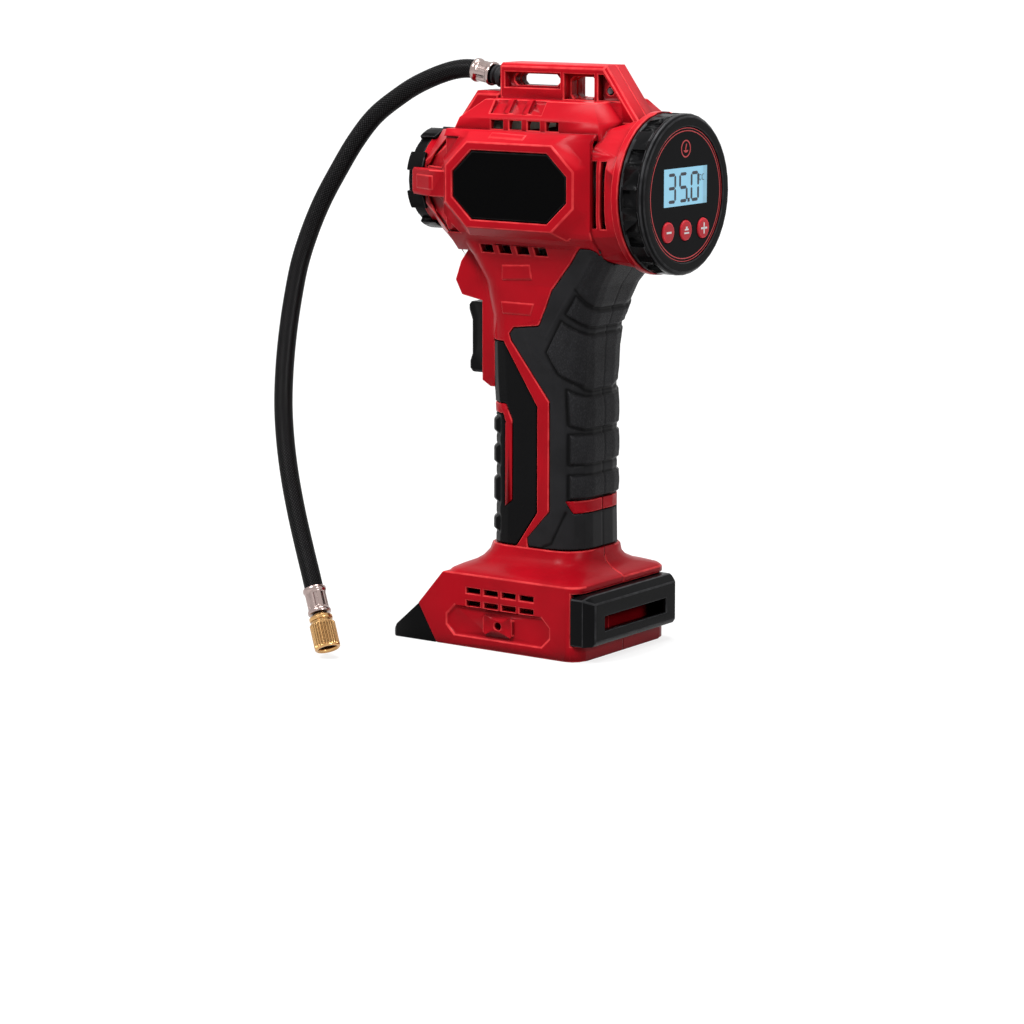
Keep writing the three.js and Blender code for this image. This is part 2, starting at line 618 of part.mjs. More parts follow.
/** The sloping shoulders that rise from the foot's top edge to the grip. */
function footShoulders() {
  const rings = [
    [FOOT_EDGE_Z - 2, FOOT_FRONT_X, FOOT_REAR_X, FOOT_HALF_WIDTH, FOOT_CORNER],
    [FOOT_EDGE_Z, FOOT_FRONT_X, FOOT_REAR_X, FOOT_HALF_WIDTH, FOOT_CORNER],
    [FOOT_EDGE_Z + 1.2, -36.8, 33.2, FOOT_HALF_WIDTH - 1.4, 7],
    [FOOT_EDGE_Z + 2.4, -34.8, 30.6, 31.4, 8],
    [FOOT_EDGE_Z + 3.8, -32, 27.8, 26.8, 10],
    [FOOT_EDGE_Z + 5.8, -29.8, 25.6, 23.8, 11.5],
    [FOOT_EDGE_Z + 8.6, -28, 24.6, 22.2, 12.6],
    [GRIP_FOOT_Z, -27, 24.4, 21.6, 13],
  ];
  return loft(rings.map((ring) => roundedRing(...ring)));
}

/** What the battery slides into, from below and from the front, with a rail along each side. */
function batteryBay() {
  return join(
    block(TOE_TIP_X - 4, BAY_REAR_X, -BAY_HALF_WIDTH, BAY_HALF_WIDTH, RAIL_HEIGHT, BAY_CEILING_Z),
    block(TOE_TIP_X - 4, BAY_REAR_X, -BAY_MOUTH_HALF, BAY_MOUTH_HALF, -1, RAIL_HEIGHT + 1),
  );
}

/** The hollow of the foot above and behind the battery bay. */
function footHollow() {
  const inner = footBlock(FOOT_WALL);
  const above = block(-60, 60, -CUT_REACH, CUT_REACH, BAY_CEILING_Z + FOOT_WALL, FOOT_EDGE_Z);
  const behind = block(BAY_REAR_X + FOOT_WALL, 60, -CUT_REACH, CUT_REACH, REAR_COVER_LOW_Z - GAP,
    FOOT_EDGE_Z);
  return common(inner, join(above, behind));
}

/** Two rows of vents in each side of the foot. */
function footVents() {
  const slots = [];
  for (const z of [17.8, 23.6]) {
    for (const x of [-25, -15.4, -5.8, 3.8]) {
      slots.push(block(x, x + 7.4, -CUT_REACH, CUT_REACH, z + 0.9, z + 3.3));
    }
  }
  return join(...slots);
}

/** The raised boss on each side of the foot, with a blind hole for a belt hook's screw. */
function hookBoss(side) {
  const outline = octagon(HOOK_X, HOOK_Z, 8, 4.6, 1.2, 1.2);
  const y = FOOT_HALF_WIDTH - 1.6;
  return convex([...sidePoints(outline, side * y), ...sidePoints(outline, side * FOOT_HALF_WIDTH)]);
}

function hookRecess(side) {
  const outline = octagon(HOOK_X, HOOK_Z + 0.2, 27, 5.8, 4, 4);
  const y = FOOT_HALF_WIDTH - 1.2;
  return convex([...sidePoints(outline, side * y), ...sidePoints(inset(outline, -1.2), side * (y + 1.4))]);
}

// ---------------------------------------------------------------- where the works lie

const motorZ = up(MOTOR_RISE);
const centreDistance = (GEAR_MODULE * (PINION_TEETH + WHEEL_TEETH)) / 2;
const crankZ = motorZ - centreDistance;
const motorRearX = MOTOR_FRONT_X + MOTOR_LENGTH;
const plateRearX = MOTOR_FRONT_X - GAP;
const plateFrontX = plateRearX - FRAME_PLATE;
const gearRearX = plateFrontX - GAP;
const gearFrontX = gearRearX - GEAR_WIDTH;
const shaftFrontX = gearFrontX - GAP;
const cylinderX = shaftFrontX - GAP - CYLINDER_RADIUS;
const crankTopZ = crankZ + CRANK_THROW;
const wristZ = crankTopZ + ROD_LENGTH;
const crownZ = wristZ + PISTON_UP;
const cylinderTopZ = crownZ + 1.2;
const cylinderLowZ = crankZ + (GEAR_MODULE * WHEEL_TEETH) / 2 + 1.4;
const armTopZ = cylinderLowZ + 7.4;
const headLowZ = cylinderTopZ + GASKET_THICKNESS + 2 * GAP;
const headTopZ = headLowZ + HEAD_HEIGHT;

const outletWay = vec(-Math.cos(OUTLET_TILT), 0, Math.sin(OUTLET_TILT));
const outlet = vec(FIN_FRONT_X, 0, finTopZ - OUTLET_DROP);
const alongOutlet = (s) => outlet.clone().addScaledVector(outletWay, s);
const riserX = FIN_FRONT_X + 2.9;
const airPipeRoute = [vec(cylinderX, 0, headTopZ + GAP), vec(cylinderX - 0.6, 0, headTopZ + 3),
  vec(riserX, 0, outlet.z - 7.5), vec(riserX, 0, outlet.z - 3.2)];

const chuckTip = vec(...CHUCK_TIP);
const chuckWay = vec(...CHUCK_WAY).normalize();
const alongChuck = (s) => chuckTip.clone().addScaledVector(chuckWay, -s);
const hoseStart = BOOT_LENGTH + FERRULE_LENGTH + 2 * GAP;
const hoseEnd = CHUCK_LENGTH + END_FERRULE_LENGTH + 2 * GAP;

const gaugeBackX = gaugeFaceX - GAUGE_DEPTH;
const lensFaceX = gaugeFaceX - LENS_RECESS;
const lensBackX = lensFaceX - LENS_THICKNESS;
const lensRadius = GAUGE_RADIUS - GAUGE_RIM;
const boardRadius = lensRadius - SPIGOT_WALL - GAP;
const sensorZ = gaugeZ + boardRadius - SENSOR_MARGIN;
const buttonReach = lensRadius - BUTTON_MARGIN - BUTTON_RADIUS;
const buttonPitch = buttonReach * Math.sin(BUTTON_SPREAD);
const buttonDrop = buttonReach * Math.cos(BUTTON_SPREAD);
const boardFaceX = lensBackX - DISPLAY_DEPTH - 2 * GAP;
const boardBackX = boardFaceX - BOARD_THICKNESS;
const guardInnerX = GUARD_FACE_X + GUARD_WALL;
const triggerFlangeX = guardInnerX + GAP;
const triggerBackX = triggerFlangeX + TRIGGER_FLANGE;
const triggerMidZ = up(-TRIGGER_DROP);
const triggerLowZ = triggerMidZ - TRIGGER_HEIGHT / 2;
const triggerHighZ = triggerMidZ + TRIGGER_HEIGHT / 2;
const switchLowZ = triggerMidZ - SWITCH_DROP - SWITCH_HEIGHT / 2;
const switchHighZ = switchLowZ + SWITCH_HEIGHT;

// ---------------------------------------------------------------- the two housing halves

/** Screws that hold the halves together: name, x, z, and how far the head lies from the middle. */
const SCREWS = [
  ['screw_fin', FIN_REAR_X + 0.5, finTopZ - 10.9, 5.2],
  ['screw_front_top', -44, up(20), 12],
  ['screw_rear', 33.5, up(-23.5), 12],
  ['screw_neck', 5, up(-47), 12],
  ['screw_grip', -2, up(-98), 12],
  ['screw_foot', -37.5, 26, 14],
];

/** The tube that one screw runs in, from wall to wall, wider around the head's well. */
const screwBoss = ([, x, z, head]) => join(
  rod(SCREW_RADIUS + GAP + BOSS_WALL, vec(x, -CUT_REACH, z), vec(x, head, z), 12),
  rod(SCREW_HEAD_RADIUS + GAP + BOSS_WALL, vec(x, head - 2.4, z), vec(x, CUT_REACH, z), 12),
);

/** The hole for one screw: a pilot on the left, a clearance and a well for the head on the right. */
const screwHole = ([, x, z, head]) => join(
  rod(SCREW_RADIUS + GAP, vec(x, -head, z), vec(x, head, z), 10),
  rod(SCREW_HEAD_RADIUS + GAP, vec(x, head - GAP, z), vec(x, CUT_REACH, z), 12),
);

/** Ribs across the hollow: two cradle the motor, one backs the pump frame, two hold the switch. */
function innerRibs() {
  const cradles = [MOTOR_FRONT_X + 6, motorRearX - 7].map((x) => cut(
    block(x, x + RIB, -CUT_REACH, CUT_REACH, motorZ - MOTOR_RADIUS - 1.9, up(17.5)),
    rod(MOTOR_RADIUS + GAP, vec(x - 1, 0, motorZ), vec(x + RIB + 1, 0, motorZ)),
  ));
  const stop = cut(
    block(plateFrontX - GAP - RIB, plateFrontX - GAP, -CUT_REACH, CUT_REACH, crankZ - 13, up(22)),
    block(plateFrontX - 10, plateFrontX + 10, 1 - PLATE_HALF, PLATE_HALF - 1, crankZ - 20, up(30)),
  );
  const shelves = [switchLowZ - GAP - RIB, switchHighZ + GAP].map((z) => block(SWITCH_FRONT_X + 1,
    SWITCH_REAR_X, -CUT_REACH, CUT_REACH, z, z + RIB));
  return join(...cradles, stop, ...shelves);
}

/** The tab on each side of the nose that overlaps the front cap. */
function noseTab(side) {
  const outline = octagon(-49.1, up(0.4), 13.3, 5.8, 1.6, 1.6);
  const from = (front) => outline.map(([x, z]) => [Math.max(x, front), z]);
  return convex([
    ...sidePoints(outline, side * (CAP_LUG_RADIUS + 2 * GAP)),
    ...sidePoints(from(-61.7), side * (CAP_LUG_RADIUS + 2.8)),
    ...sidePoints(from(-51), side * (BARREL_HALF_WIDTH - 3.1)),
    ...sidePoints(from(-47), side * BARREL_HALF_WIDTH),
  ]);
}

/** Everything that passes through the housing's walls. */
function housingOpenings() {
  const play = GAP + 0.1;
  const halfWidth = TRIGGER_HALF_WIDTH + play;
  const trigger = block(TRIGGER_FACE_X - 10, guardInnerX + 1, -halfWidth, halfWidth,
    triggerLowZ - play, triggerHighZ + play);
  const guardHollow = block(guardInnerX, SWITCH_FRONT_X + 0.5, -GUARD_HALF_WIDTH + GUARD_WALL,
    GUARD_HALF_WIDTH - GUARD_WALL, triggerLowZ - TRIGGER_LIP - play, triggerHighZ + TRIGGER_LIP + play);
  const capSeat = rod(CAP_SPIGOT_RADIUS + GAP, vec(COLLAR_X - 3, 0, BARREL_Z), vec(NOSE_X + 6, 0, BARREL_Z));
  const gaugeSeat = rod(lensRadius + GAP, vec(gaugeBackX - SPIGOT_DEPTH - GAP, 0, gaugeZ),
    vec(gaugeBackX + 1, 0, gaugeZ), 40);
  const slits = join(...[BARREL_REAR_X + 0.2, BARREL_REAR_X + 4.8].flatMap((x) => [
    block(x, x + 2.4, BARREL_HALF_WIDTH - 8.5, CUT_REACH, up(-15), up(13.5)),
    block(x, x + 2.4, -CUT_REACH, 8.5 - BARREL_HALF_WIDTH, up(-15), up(13.5)),
  ]));
  const rearWindow = block(REAR_SEAT_X - GAP, REAR_COVER_X, -FOOT_HALF_WIDTH - 1, FOOT_HALF_WIDTH + 1,
    REAR_COVER_LOW_Z - GAP, REAR_COVER_HIGH_Z + GAP);
  const outletBore = rod(FITTING_RADIUS + GAP, alongOutlet(-4), alongOutlet(2), 16);
  const riser = tube(airPipeRoute, AIR_PIPE_RADIUS + GAP, 8, 10);
  const panels = bothSides((side) => convex([
    ...sidePoints(panelOutline(-GAP), side * (frameFaceY - PANEL_SEAT)),
    ...sidePoints(panelOutline(-GAP), side * (frameFaceY + 1)),
  ]));
  const hookHoles = bothSides((side) => rod(1.75, vec(HOOK_X, side * (FOOT_HALF_WIDTH - 6.5), HOOK_Z),
    vec(HOOK_X, side * CUT_REACH, HOOK_Z), 14));
  const leadHoles = bothSides((side) => rod(2, vec(LEAD_X, side * 5, BAY_CEILING_Z - 1),
    vec(LEAD_X, side * 5, BAY_CEILING_Z + FOOT_WALL + 1), 12));
  return join(trigger, guardHollow, capSeat, gaugeSeat, slits, rearWindow, outletBore, riser, panels,
    hookHoles, leadHoles, footVents(), ventRow(-17.8, 9.7, 6.3, up(24.9), up(28.7), BARREL_HALF_WIDTH - 12.5),
    ventRow(-24, 9.5, 6.3, up(-29), up(-25.4), BARREL_HALF_WIDTH - 15.5));
}

/** The whole hard housing, before it is split down its middle. */
function housing() {
  const flange = rod(flangeRadius, vec(flangeX, 0, gaugeZ), vec(flangeX + FLANGE_THICKNESS, 0, gaugeZ), 40);
  const outletCollar = rod(BOOT_RADIUS + 0.3, alongOutlet(-3), alongOutlet(OUTLET_COLLAR), 20);
  const collar = rod(COLLAR_RADIUS, vec(COLLAR_X, 0, BARREL_Z), vec(NOSE_X + 1, 0, BARREL_Z), 32);
  const outer = cut(
    join(cut(grip(0, GRIP_FOOT_Z - 6, gripTop), coverSeats()), barrel(0), fin(), triggerGuard(), footBlock(0),
      footShoulders(), flange, collar, outletCollar, bothSides(noseTab)),
    finOpenings(),
    humpScoops(),
    nosePockets(),
    bothSides(hookRecess),
  );
  const hollow = join(
    barrel(BARREL_WALL),
    grip(RUBBER + GAP + GRIP_WALL, FOOT_EDGE_Z - FOOT_WALL - 1, gripTop),
    footHollow(),
  );
  const inside = common(join(...SCREWS.map(screwBoss), innerRibs()), outer);
  return cut(join(cut(outer, hollow), inside, bothSides(hookBoss)), batteryBay(), ...SCREWS.map(screwHole),
    housingOpenings());
}

function housingHalves() {
  const whole = housing();
  const far = 400;
  piece('housing_left', RED_PLASTIC, common(whole, block(-far, far, -far, -SPLIT, -far, far)));
  piece('housing_right', RED_PLASTIC, common(whole, block(-far, far, SPLIT, far, -far, far)));
  for (const [name, x, z, head] of SCREWS) {
    const reach = head - GAP;
    piece(name, DARK_STEEL, join(
      rod(SCREW_RADIUS, vec(x, -reach, z), vec(x, head + 0.5, z), 10),
      rod(SCREW_HEAD_RADIUS, vec(x, head, z), vec(x, head + SCREW_HEAD_HEIGHT, z), 12),
    ));
  }
}

// ---------------------------------------------------------------- covers and trim

function softCovers() {
  const skin = cut(grip(0, GRIP_FOOT_Z + GAP, gripTop - GAP), grip(RUBBER, GRIP_FOOT_Z - 6, gripTop + 6));
  const clear = join(barrel(-GAP), triggerGuard(-GAP));
  const rear = common(skin, throughPlate(REAR_COVER_AREA));
  const front = common(skin, throughPlate(FRONT_COVER_AREA));
  piece('grip_rubber', RUBBER_GREY, cut(rear, throughPlate(inset(BAND_AREA, -GAP)), clear));
  piece('grip_front_cover', BLACK_PLASTIC, cut(front, throughPlate(inset(CHANNEL_AREA, -GAP)), clear));
}

function sidePanels() {
  for (const [name, side] of [['side_panel_left', -1], ['side_panel_right', 1]]) {
    const seat = frameFaceY - PANEL_SEAT + GAP;
    piece(name, BLACK_PLASTIC, convex([
      ...sidePoints(panelOutline(0), side * seat),
      ...sidePoints(panelOutline(0), side * (seat + PANEL_THICKNESS - 0.4)),
      ...sidePoints(panelOutline(0.4), side * (seat + PANEL_THICKNESS)),
    ]));
  }
}

/** A round outline in (y, z) whose radius steps out at each of a number of equal lands. */
function lugged(centreZ, count, low, high, share, steps) {
  const outline = [];
  const pitch = (2 * Math.PI) / count;
  for (let i = 0; i < count; i += 1) {
    const middle = (i + 0.5) * pitch;
    for (const [radius, from, to] of [[high, -share / 2, share / 2], [low, share / 2, 1 - share / 2]]) {
      for (let k = 0; k <= steps; k += 1) {
        const angle = middle + pitch * (from + ((to - from) * k) / steps);
        outline.push([radius * Math.cos(angle), centreZ + radius * Math.sin(angle)]);
      }
    }
  }
  return outline;
}

/** The black cap on the nose, with lugs around it and a spigot into the housing. */
function frontCap() {
  const back = COLLAR_X - GAP;
  const at = (x) => vec(x, 0, BARREL_Z);
  const lugs = cut(
    endPlate(lugged(BARREL_Z, CAP_LUGS, CAP_RADIUS, CAP_LUG_RADIUS, 0.48, 3), CAP_FACE_X + 1, CAP_LUG_X),
    rod(COLLAR_RADIUS + GAP, at(back), at(CAP_LUG_X + 1), 32),
  );
  const face = turned([[0, 0], [13, 0], [13.6, 0.9], [16.6, 0.9], [17.2, 0], [CAP_RADIUS - 1.4, 0],
    [CAP_RADIUS, 1.4], [CAP_RADIUS, back - CAP_FACE_X], [0, back - CAP_FACE_X]], at(CAP_FACE_X), X, 32);
  const spigot = rod(CAP_SPIGOT_RADIUS, at(back - 1), at(NOSE_X + 4));
  const hollow = rod(CAP_SPIGOT_RADIUS - 2, at(CAP_FACE_X + 2.5), at(NOSE_X + 5));
  piece('front_cap', BLACK_PLASTIC, cut(join(lugs, face, spigot), hollow));
}

/** The black bumper around the back of the foot, with its wide slot. */
function rearCover() {
  const side = [[REAR_SEAT_X, REAR_COVER_LOW_Z], [REAR_COVER_X - 1.4, REAR_COVER_LOW_Z],
    [REAR_COVER_X, REAR_COVER_LOW_Z + 2], [REAR_COVER_X, REAR_COVER_HIGH_Z - 3.4],
    [REAR_COVER_X - 3, REAR_COVER_HIGH_Z], [REAR_SEAT_X, REAR_COVER_HIGH_Z]];
  const ends = side.map(([x, z]) => [Math.min(x, REAR_COVER_X - 4.5), Math.min(z, REAR_COVER_HIGH_Z - 1.6)]);
  const half = FOOT_HALF_WIDTH - 0.4;
  const shell = convex([...sidePoints(side, 31.7), ...sidePoints(side, -31.7), ...sidePoints(ends, half),
    ...sidePoints(ends, -half)]);
  const spigot = block(BAY_REAR_X + FOOT_WALL + GAP, REAR_SEAT_X + 1, -FOOT_HALF_WIDTH + FOOT_WALL + GAP,
    FOOT_HALF_WIDTH - FOOT_WALL - GAP, REAR_COVER_LOW_Z, REAR_COVER_HIGH_Z);
  const corners = roundedRing(0, -90, FOOT_REAR_X - FOOT_WALL - GAP, FOOT_HALF_WIDTH - FOOT_WALL - GAP,
    FOOT_CORNER - FOOT_WALL - GAP).map(({ x, y }) => [x, y]);
  const hollowHalf = FOOT_HALF_WIDTH - FOOT_WALL - 2.2;
  const hollow = block(0, REAR_COVER_X - 2.2, -hollowHalf, hollowHalf,
    REAR_COVER_LOW_Z + 2, REAR_COVER_HIGH_Z - 2.4);
  const { half: slotHalf, z0, z1 } = REAR_SLOT;
  const slot = block(0, REAR_COVER_X + 1, -slotHalf, slotHalf, z0, z1);
  const body = join(shell, common(spigot, floorPlate(corners, 0, 60)));
  piece('foot_rear_cover', BLACK_PLASTIC, cut(body, hollow, slot));
}

/** The black tips in front of the foot, one on each side of the battery bay. */
function toes() {
  const away = GAP * 1.25;
  const outline = [[TOE_TIP_X, 0], [FOOT_SIDE[0][0] - away, 0], [FOOT_NOSE_X - away, FOOT_NOSE_Z],
    [TOE_TIP_X + 1.4, 5.4], [TOE_TIP_X, 3.6]];
  for (const [name, side] of [['foot_toe_left', -1], ['foot_toe_right', 1]]) {
    const cheek = convex([
      ...sidePoints(outline, side * BAY_HALF_WIDTH),
      ...sidePoints(outline, side * (FOOT_HALF_WIDTH - 1.4)),
      ...sidePoints(outline.map(([x, z]) => [Math.max(x, TOE_TIP_X + 1.6), Math.min(z, FOOT_NOSE_Z - 0.8)]),
        side * FOOT_HALF_WIDTH),
    ]);
    const outer = FOOT_HALF_WIDTH - 1.4;
    const [y0, y1] = side < 0 ? [-outer, -BAY_MOUTH_HALF] : [BAY_MOUTH_HALF, outer];
    const rail = common(sidePlate(outline, y0, y1), block(-90, 0, y0, y1, -1, RAIL_HEIGHT));
    piece(name, BLACK_PLASTIC, join(cheek, rail));
  }
}

// ---------------------------------------------------------------- the gauge

/** The black ring around the gauge, with a castellated band and a spigot into the flange. */
function gaugeBezel() {
  const at = (s) => gaugeBackX + s;
  const middle = (s) => vec(at(s), 0, gaugeZ);
  const [bandStart, bandEnd] = [2, GAUGE_DEPTH - 3.6];
  const rings = turned([[0, 0], [GAUGE_RADIUS - 0.6, 0], [GAUGE_RADIUS - 0.2, 0.5],
    [GAUGE_RADIUS - 0.2, bandStart - 0.4], [GAUGE_RADIUS - 1.6, bandStart], [GAUGE_RADIUS - 1.6, bandEnd],
    [GAUGE_RADIUS, bandEnd + 0.5], [GAUGE_RADIUS, GAUGE_DEPTH - 1.4], [GAUGE_RADIUS - 1.4, GAUGE_DEPTH],
    [0, GAUGE_DEPTH]], middle(0), X, 40);
  const lands = endPlate(lugged(gaugeZ, GAUGE_NOTCHES, GAUGE_RADIUS - 1.6, GAUGE_RADIUS - 0.1, 0.56, 2),
    at(bandStart - 0.2), at(bandEnd + 0.2));
  const spigot = rod(lensRadius, middle(-SPIGOT_DEPTH), middle(1), 40);
  const well = rod(lensRadius, vec(lensBackX - GAP, 0, gaugeZ), middle(GAUGE_DEPTH + 1), 40);
  const throat = rod(boardRadius + GAP, middle(-SPIGOT_DEPTH - 1), middle(GAUGE_DEPTH), 40);
  piece('gauge_bezel', BLACK_PLASTIC, cut(join(rings, lands, spigot), well, throat));
}

const buttonPlaces = [['button_minus', -buttonPitch], ['button_mode', 0], ['button_plus', buttonPitch]];

/** The dark window, the display and the board behind it, and the three buttons. */
function gaugeFace() {
  const at = (y, rise) => (x) => vec(x, y, gaugeZ + rise);
  const holes = buttonPlaces.map(([, y]) => {
    const line = at(y, -buttonDrop);
    return rod(BUTTON_RADIUS + GAP, line(lensBackX - 1), line(lensFaceX + 1), 16);
  });
  const middle = at(0, 0);
  const lens = rod(lensRadius - GAP, middle(lensBackX), middle(lensFaceX), 40);
  piece('gauge_lens', GLOSS_BLACK, cut(lens, ...holes));
  const [halfY, halfZ] = [LCD_WIDTH / 2 + 1.6, LCD_HEIGHT / 2 + 1.4];
  const lcdZ = gaugeZ + LCD_RISE;
  piece('lcd_module', LCD_BLUE, block(boardFaceX + GAP, lensBackX - GAP, -halfY, halfY,
    lcdZ - halfZ, lcdZ + halfZ));
  piece('gauge_board', BOARD_GREEN, rod(boardRadius, middle(boardBackX), middle(boardFaceX), 32));
  for (const [name, y] of buttonPlaces) {
    const line = at(y, -buttonDrop);
    const rim = BUTTON_RADIUS + 0.8;
    const foot = boardFaceX + BUTTON_TRAVEL + GAP;
    const [rimTop, top] = [lensBackX - GAP - foot, gaugeFaceX - foot];
    piece(name, BUTTON_RED, turned([[0, 0], [2.6, 0], [2.6, rimTop - 1.4], [rim, rimTop - 1.4], [rim, rimTop],
      [BUTTON_RADIUS, rimTop], [BUTTON_RADIUS, top - 0.4], [BUTTON_RADIUS - 0.4, top],
      [0, top]], line(foot), X, 16));
  }
  const port = at(0, sensorZ - gaugeZ);
  const sensorFace = boardBackX - GAP;
  piece('pressure_sensor', BLACK_PLASTIC, join(
    block(sensorFace - 5, sensorFace, -4.5, 4.5, sensorZ - 4.5, sensorZ + 4.5),
    rod(1.6, port(sensorFace - 7), port(sensorFace - 4), 12),
  ));
}

// ---------------------------------------------------------------- the trigger

function triggerGroup() {
  const [low, high, half] = [triggerLowZ, triggerHighZ, TRIGGER_HALF_WIDTH];
  const face = TRIGGER_FACE_X;
  const pad = sidePlate([[triggerBackX, low], [triggerBackX, high], [face + 1.5, high], [face, high - 1.7],
    [face, high - 5], [face + 1.3, high - 8.5], [face + 1.3, low + 8.5], [face, low + 5], [face, low + 1.7],
    [face + 1.5, low]].toReversed(), -half, half);
  const lip = block(triggerFlangeX, triggerBackX, -GUARD_HALF_WIDTH + GUARD_WALL + GAP,
    GUARD_HALF_WIDTH - GUARD_WALL - GAP, low - TRIGGER_LIP, high + TRIGGER_LIP);
  const stem = rod(STEM_RADIUS, vec(triggerBackX - 1, 0, triggerMidZ),
    vec(SWITCH_FRONT_X - TRIGGER_TRAVEL - 0.1, 0, triggerMidZ), 16);
  piece('trigger', BLACK_PLASTIC, join(pad, lip, stem));
  piece('trigger_switch', BLACK_PLASTIC, join(
    block(SWITCH_FRONT_X + GAP, SWITCH_REAR_X, -7.5, 7.5, switchLowZ, switchHighZ),
    block(SWITCH_REAR_X - 1, SWITCH_REAR_X + 2, -5, 5, switchHighZ - 6, switchHighZ - 2),
  ));
  piece('trigger_spring', STEEL, triggerSpring());
}

/** A coil of round wire around the trigger's stem. */
function triggerSpring() {
  const [from, to] = [triggerBackX + GAP + SPRING_WIRE, SWITCH_FRONT_X - SPRING_WIRE];
  const steps = SPRING_TURNS * 10;
  const sides = 6;
  const rise = (to - from) / (2 * Math.PI * SPRING_TURNS);
  const rings = Array.from({ length: steps + 1 }, (_, i) => {
    const turn = (i / steps) * SPRING_TURNS * 2 * Math.PI;
    const outwards = vec(0, Math.cos(turn), Math.sin(turn));
    const ahead = vec(rise, -SPRING_RADIUS * Math.sin(turn), SPRING_RADIUS * Math.cos(turn)).normalize();
    const across = ahead.clone().cross(outwards);
    const centre = vec(from + rise * turn, 0, triggerMidZ).addScaledVector(outwards, SPRING_RADIUS);
    return circle(0, 0, SPRING_WIRE, sides).map(([u, v]) => centre.clone()
      .addScaledVector(outwards, u).addScaledVector(across, v));
  });
  return loft(rings);
}

// ---------------------------------------------------------------- the motor and its gears

function motor() {
  const front = (s) => vec(MOTOR_FRONT_X + s, 0, motorZ);
  const wall = 1.5;
  const bore = SHAFT_RADIUS + GAP;
  piece('motor_can', STEEL, turned([[bore, -3], [5, -3], [5, 0], [MOTOR_RADIUS, 0],
    [MOTOR_RADIUS, MOTOR_LENGTH], [MOTOR_RADIUS - wall, MOTOR_LENGTH], [MOTOR_RADIUS - wall, wall],
    [bore, wall], [bore, -3]], front(0), X));
  const cap = MOTOR_LENGTH + GAP;
  const inner = MOTOR_RADIUS - wall - GAP;
  piece('motor_end_cap', BLACK_PLASTIC, turned([[bore, cap - 3], [inner, cap - 3], [inner, cap],
    [MOTOR_RADIUS - 0.4, cap], [MOTOR_RADIUS - 0.4, cap + 2.6], [6, cap + 2.6], [6, cap + 4.4],
    [bore, cap + 4.4], [bore, cap - 3]], front(0), X));
  const core = inner - 3.4;
  piece('motor_rotor', DARK_STEEL, turned([[0, shaftFrontX - MOTOR_FRONT_X], [SHAFT_RADIUS,
    shaftFrontX - MOTOR_FRONT_X], [SHAFT_RADIUS, 5], [8, 5], [8, 7], [core, 7], [core, 25], [8, 25], [8, 27],
    [5, 27], [5, 33], [SHAFT_RADIUS, 33], [SHAFT_RADIUS, cap + 3.6], [0, cap + 3.6]], front(0), X, 24));
  piece('motor_magnet', DARK_STEEL, sleeve(inner, core + 0.8, front(4), front(30)));
}

/** An involute spur gear's outline in (y, z), with one tooth pointing along the start angle. */
function toothed(teeth, centreZ, start) {
  const pressure = THREE.MathUtils.degToRad(PRESSURE_ANGLE);
  const pitch = (GEAR_MODULE * teeth) / 2;
  const base = pitch * Math.cos(pressure);
  const [tip, root] = [pitch + 0.9 * GEAR_MODULE, pitch - 1.25 * GEAR_MODULE];
  const involute = (angle) => Math.tan(angle) - angle;
  const halfAtPitch = (Math.PI * GEAR_MODULE - BACKLASH) / (4 * pitch);
  const halfAt = (r) => halfAtPitch + involute(pressure) - involute(Math.acos(Math.min(1, base / r)));
  const flank = [root, Math.max(root, base), pitch, tip].map((r) => [r, halfAt(Math.max(r, base))]);
  const outline = [];
  for (let i = 0; i < teeth; i += 1) {
    const middle = start + (2 * Math.PI * i) / teeth;
    const points = [...flank.map(([r, half]) => [r, middle - half]),
      ...flank.toReversed().map(([r, half]) => [r, middle + half])];
    outline.push(...points.map(([r, angle]) => [r * Math.cos(angle), centreZ + r * Math.sin(angle)]));
  }
  return outline;
}

function gears() {
  const pinionTurn = -Math.PI / 2 + Math.PI / PINION_TEETH;
  const bore = (radius, z) => rod(radius, vec(gearFrontX - 1, 0, z), vec(gearRearX + 1, 0, z), 20);
  piece('pinion', STEEL, cut(endPlate(toothed(PINION_TEETH, motorZ, pinionTurn), gearFrontX, gearRearX),
    bore(SHAFT_RADIUS + GAP, motorZ)));
  const webs = [45, 135, 225, 315].map((degrees) => {
    const angle = THREE.MathUtils.degToRad(degrees);
    const [y, z] = [10.4 * Math.cos(angle), crankZ + 10.4 * Math.sin(angle)];
    return rod(3, vec(gearFrontX - 1, y, z), vec(gearRearX + 1, y, z), 12);
  });
  const wheel = endPlate(toothed(WHEEL_TEETH, crankZ, Math.PI / 2), gearFrontX, gearRearX);
  piece('crank_gear', WHITE_NYLON, cut(wheel, bore(CRANK_SHAFT_RADIUS + GAP, crankZ),
    bore(CRANK_PIN_RADIUS + GAP, crankTopZ), ...webs));
  piece('crank_shaft', STEEL, rod(CRANK_SHAFT_RADIUS, vec(gearFrontX - 0.5, 0, crankZ),
    vec(plateRearX - 0.4, 0, crankZ), 20));
  const rodRearX = cylinderX + ROD_THICKNESS / 2;
  piece('crank_pin', STEEL, rod(CRANK_PIN_RADIUS, vec(rodRearX + PIN_CLEARANCE, 0, crankTopZ),
    vec(gearRearX, 0, crankTopZ), 16));
  piece('crank_bearing', STEEL, sleeve(BEARING_RADIUS, CRANK_SHAFT_RADIUS + GAP,
    vec(plateFrontX, 0, crankZ), vec(plateRearX, 0, crankZ), 24));
}

// ---------------------------------------------------------------- the pump

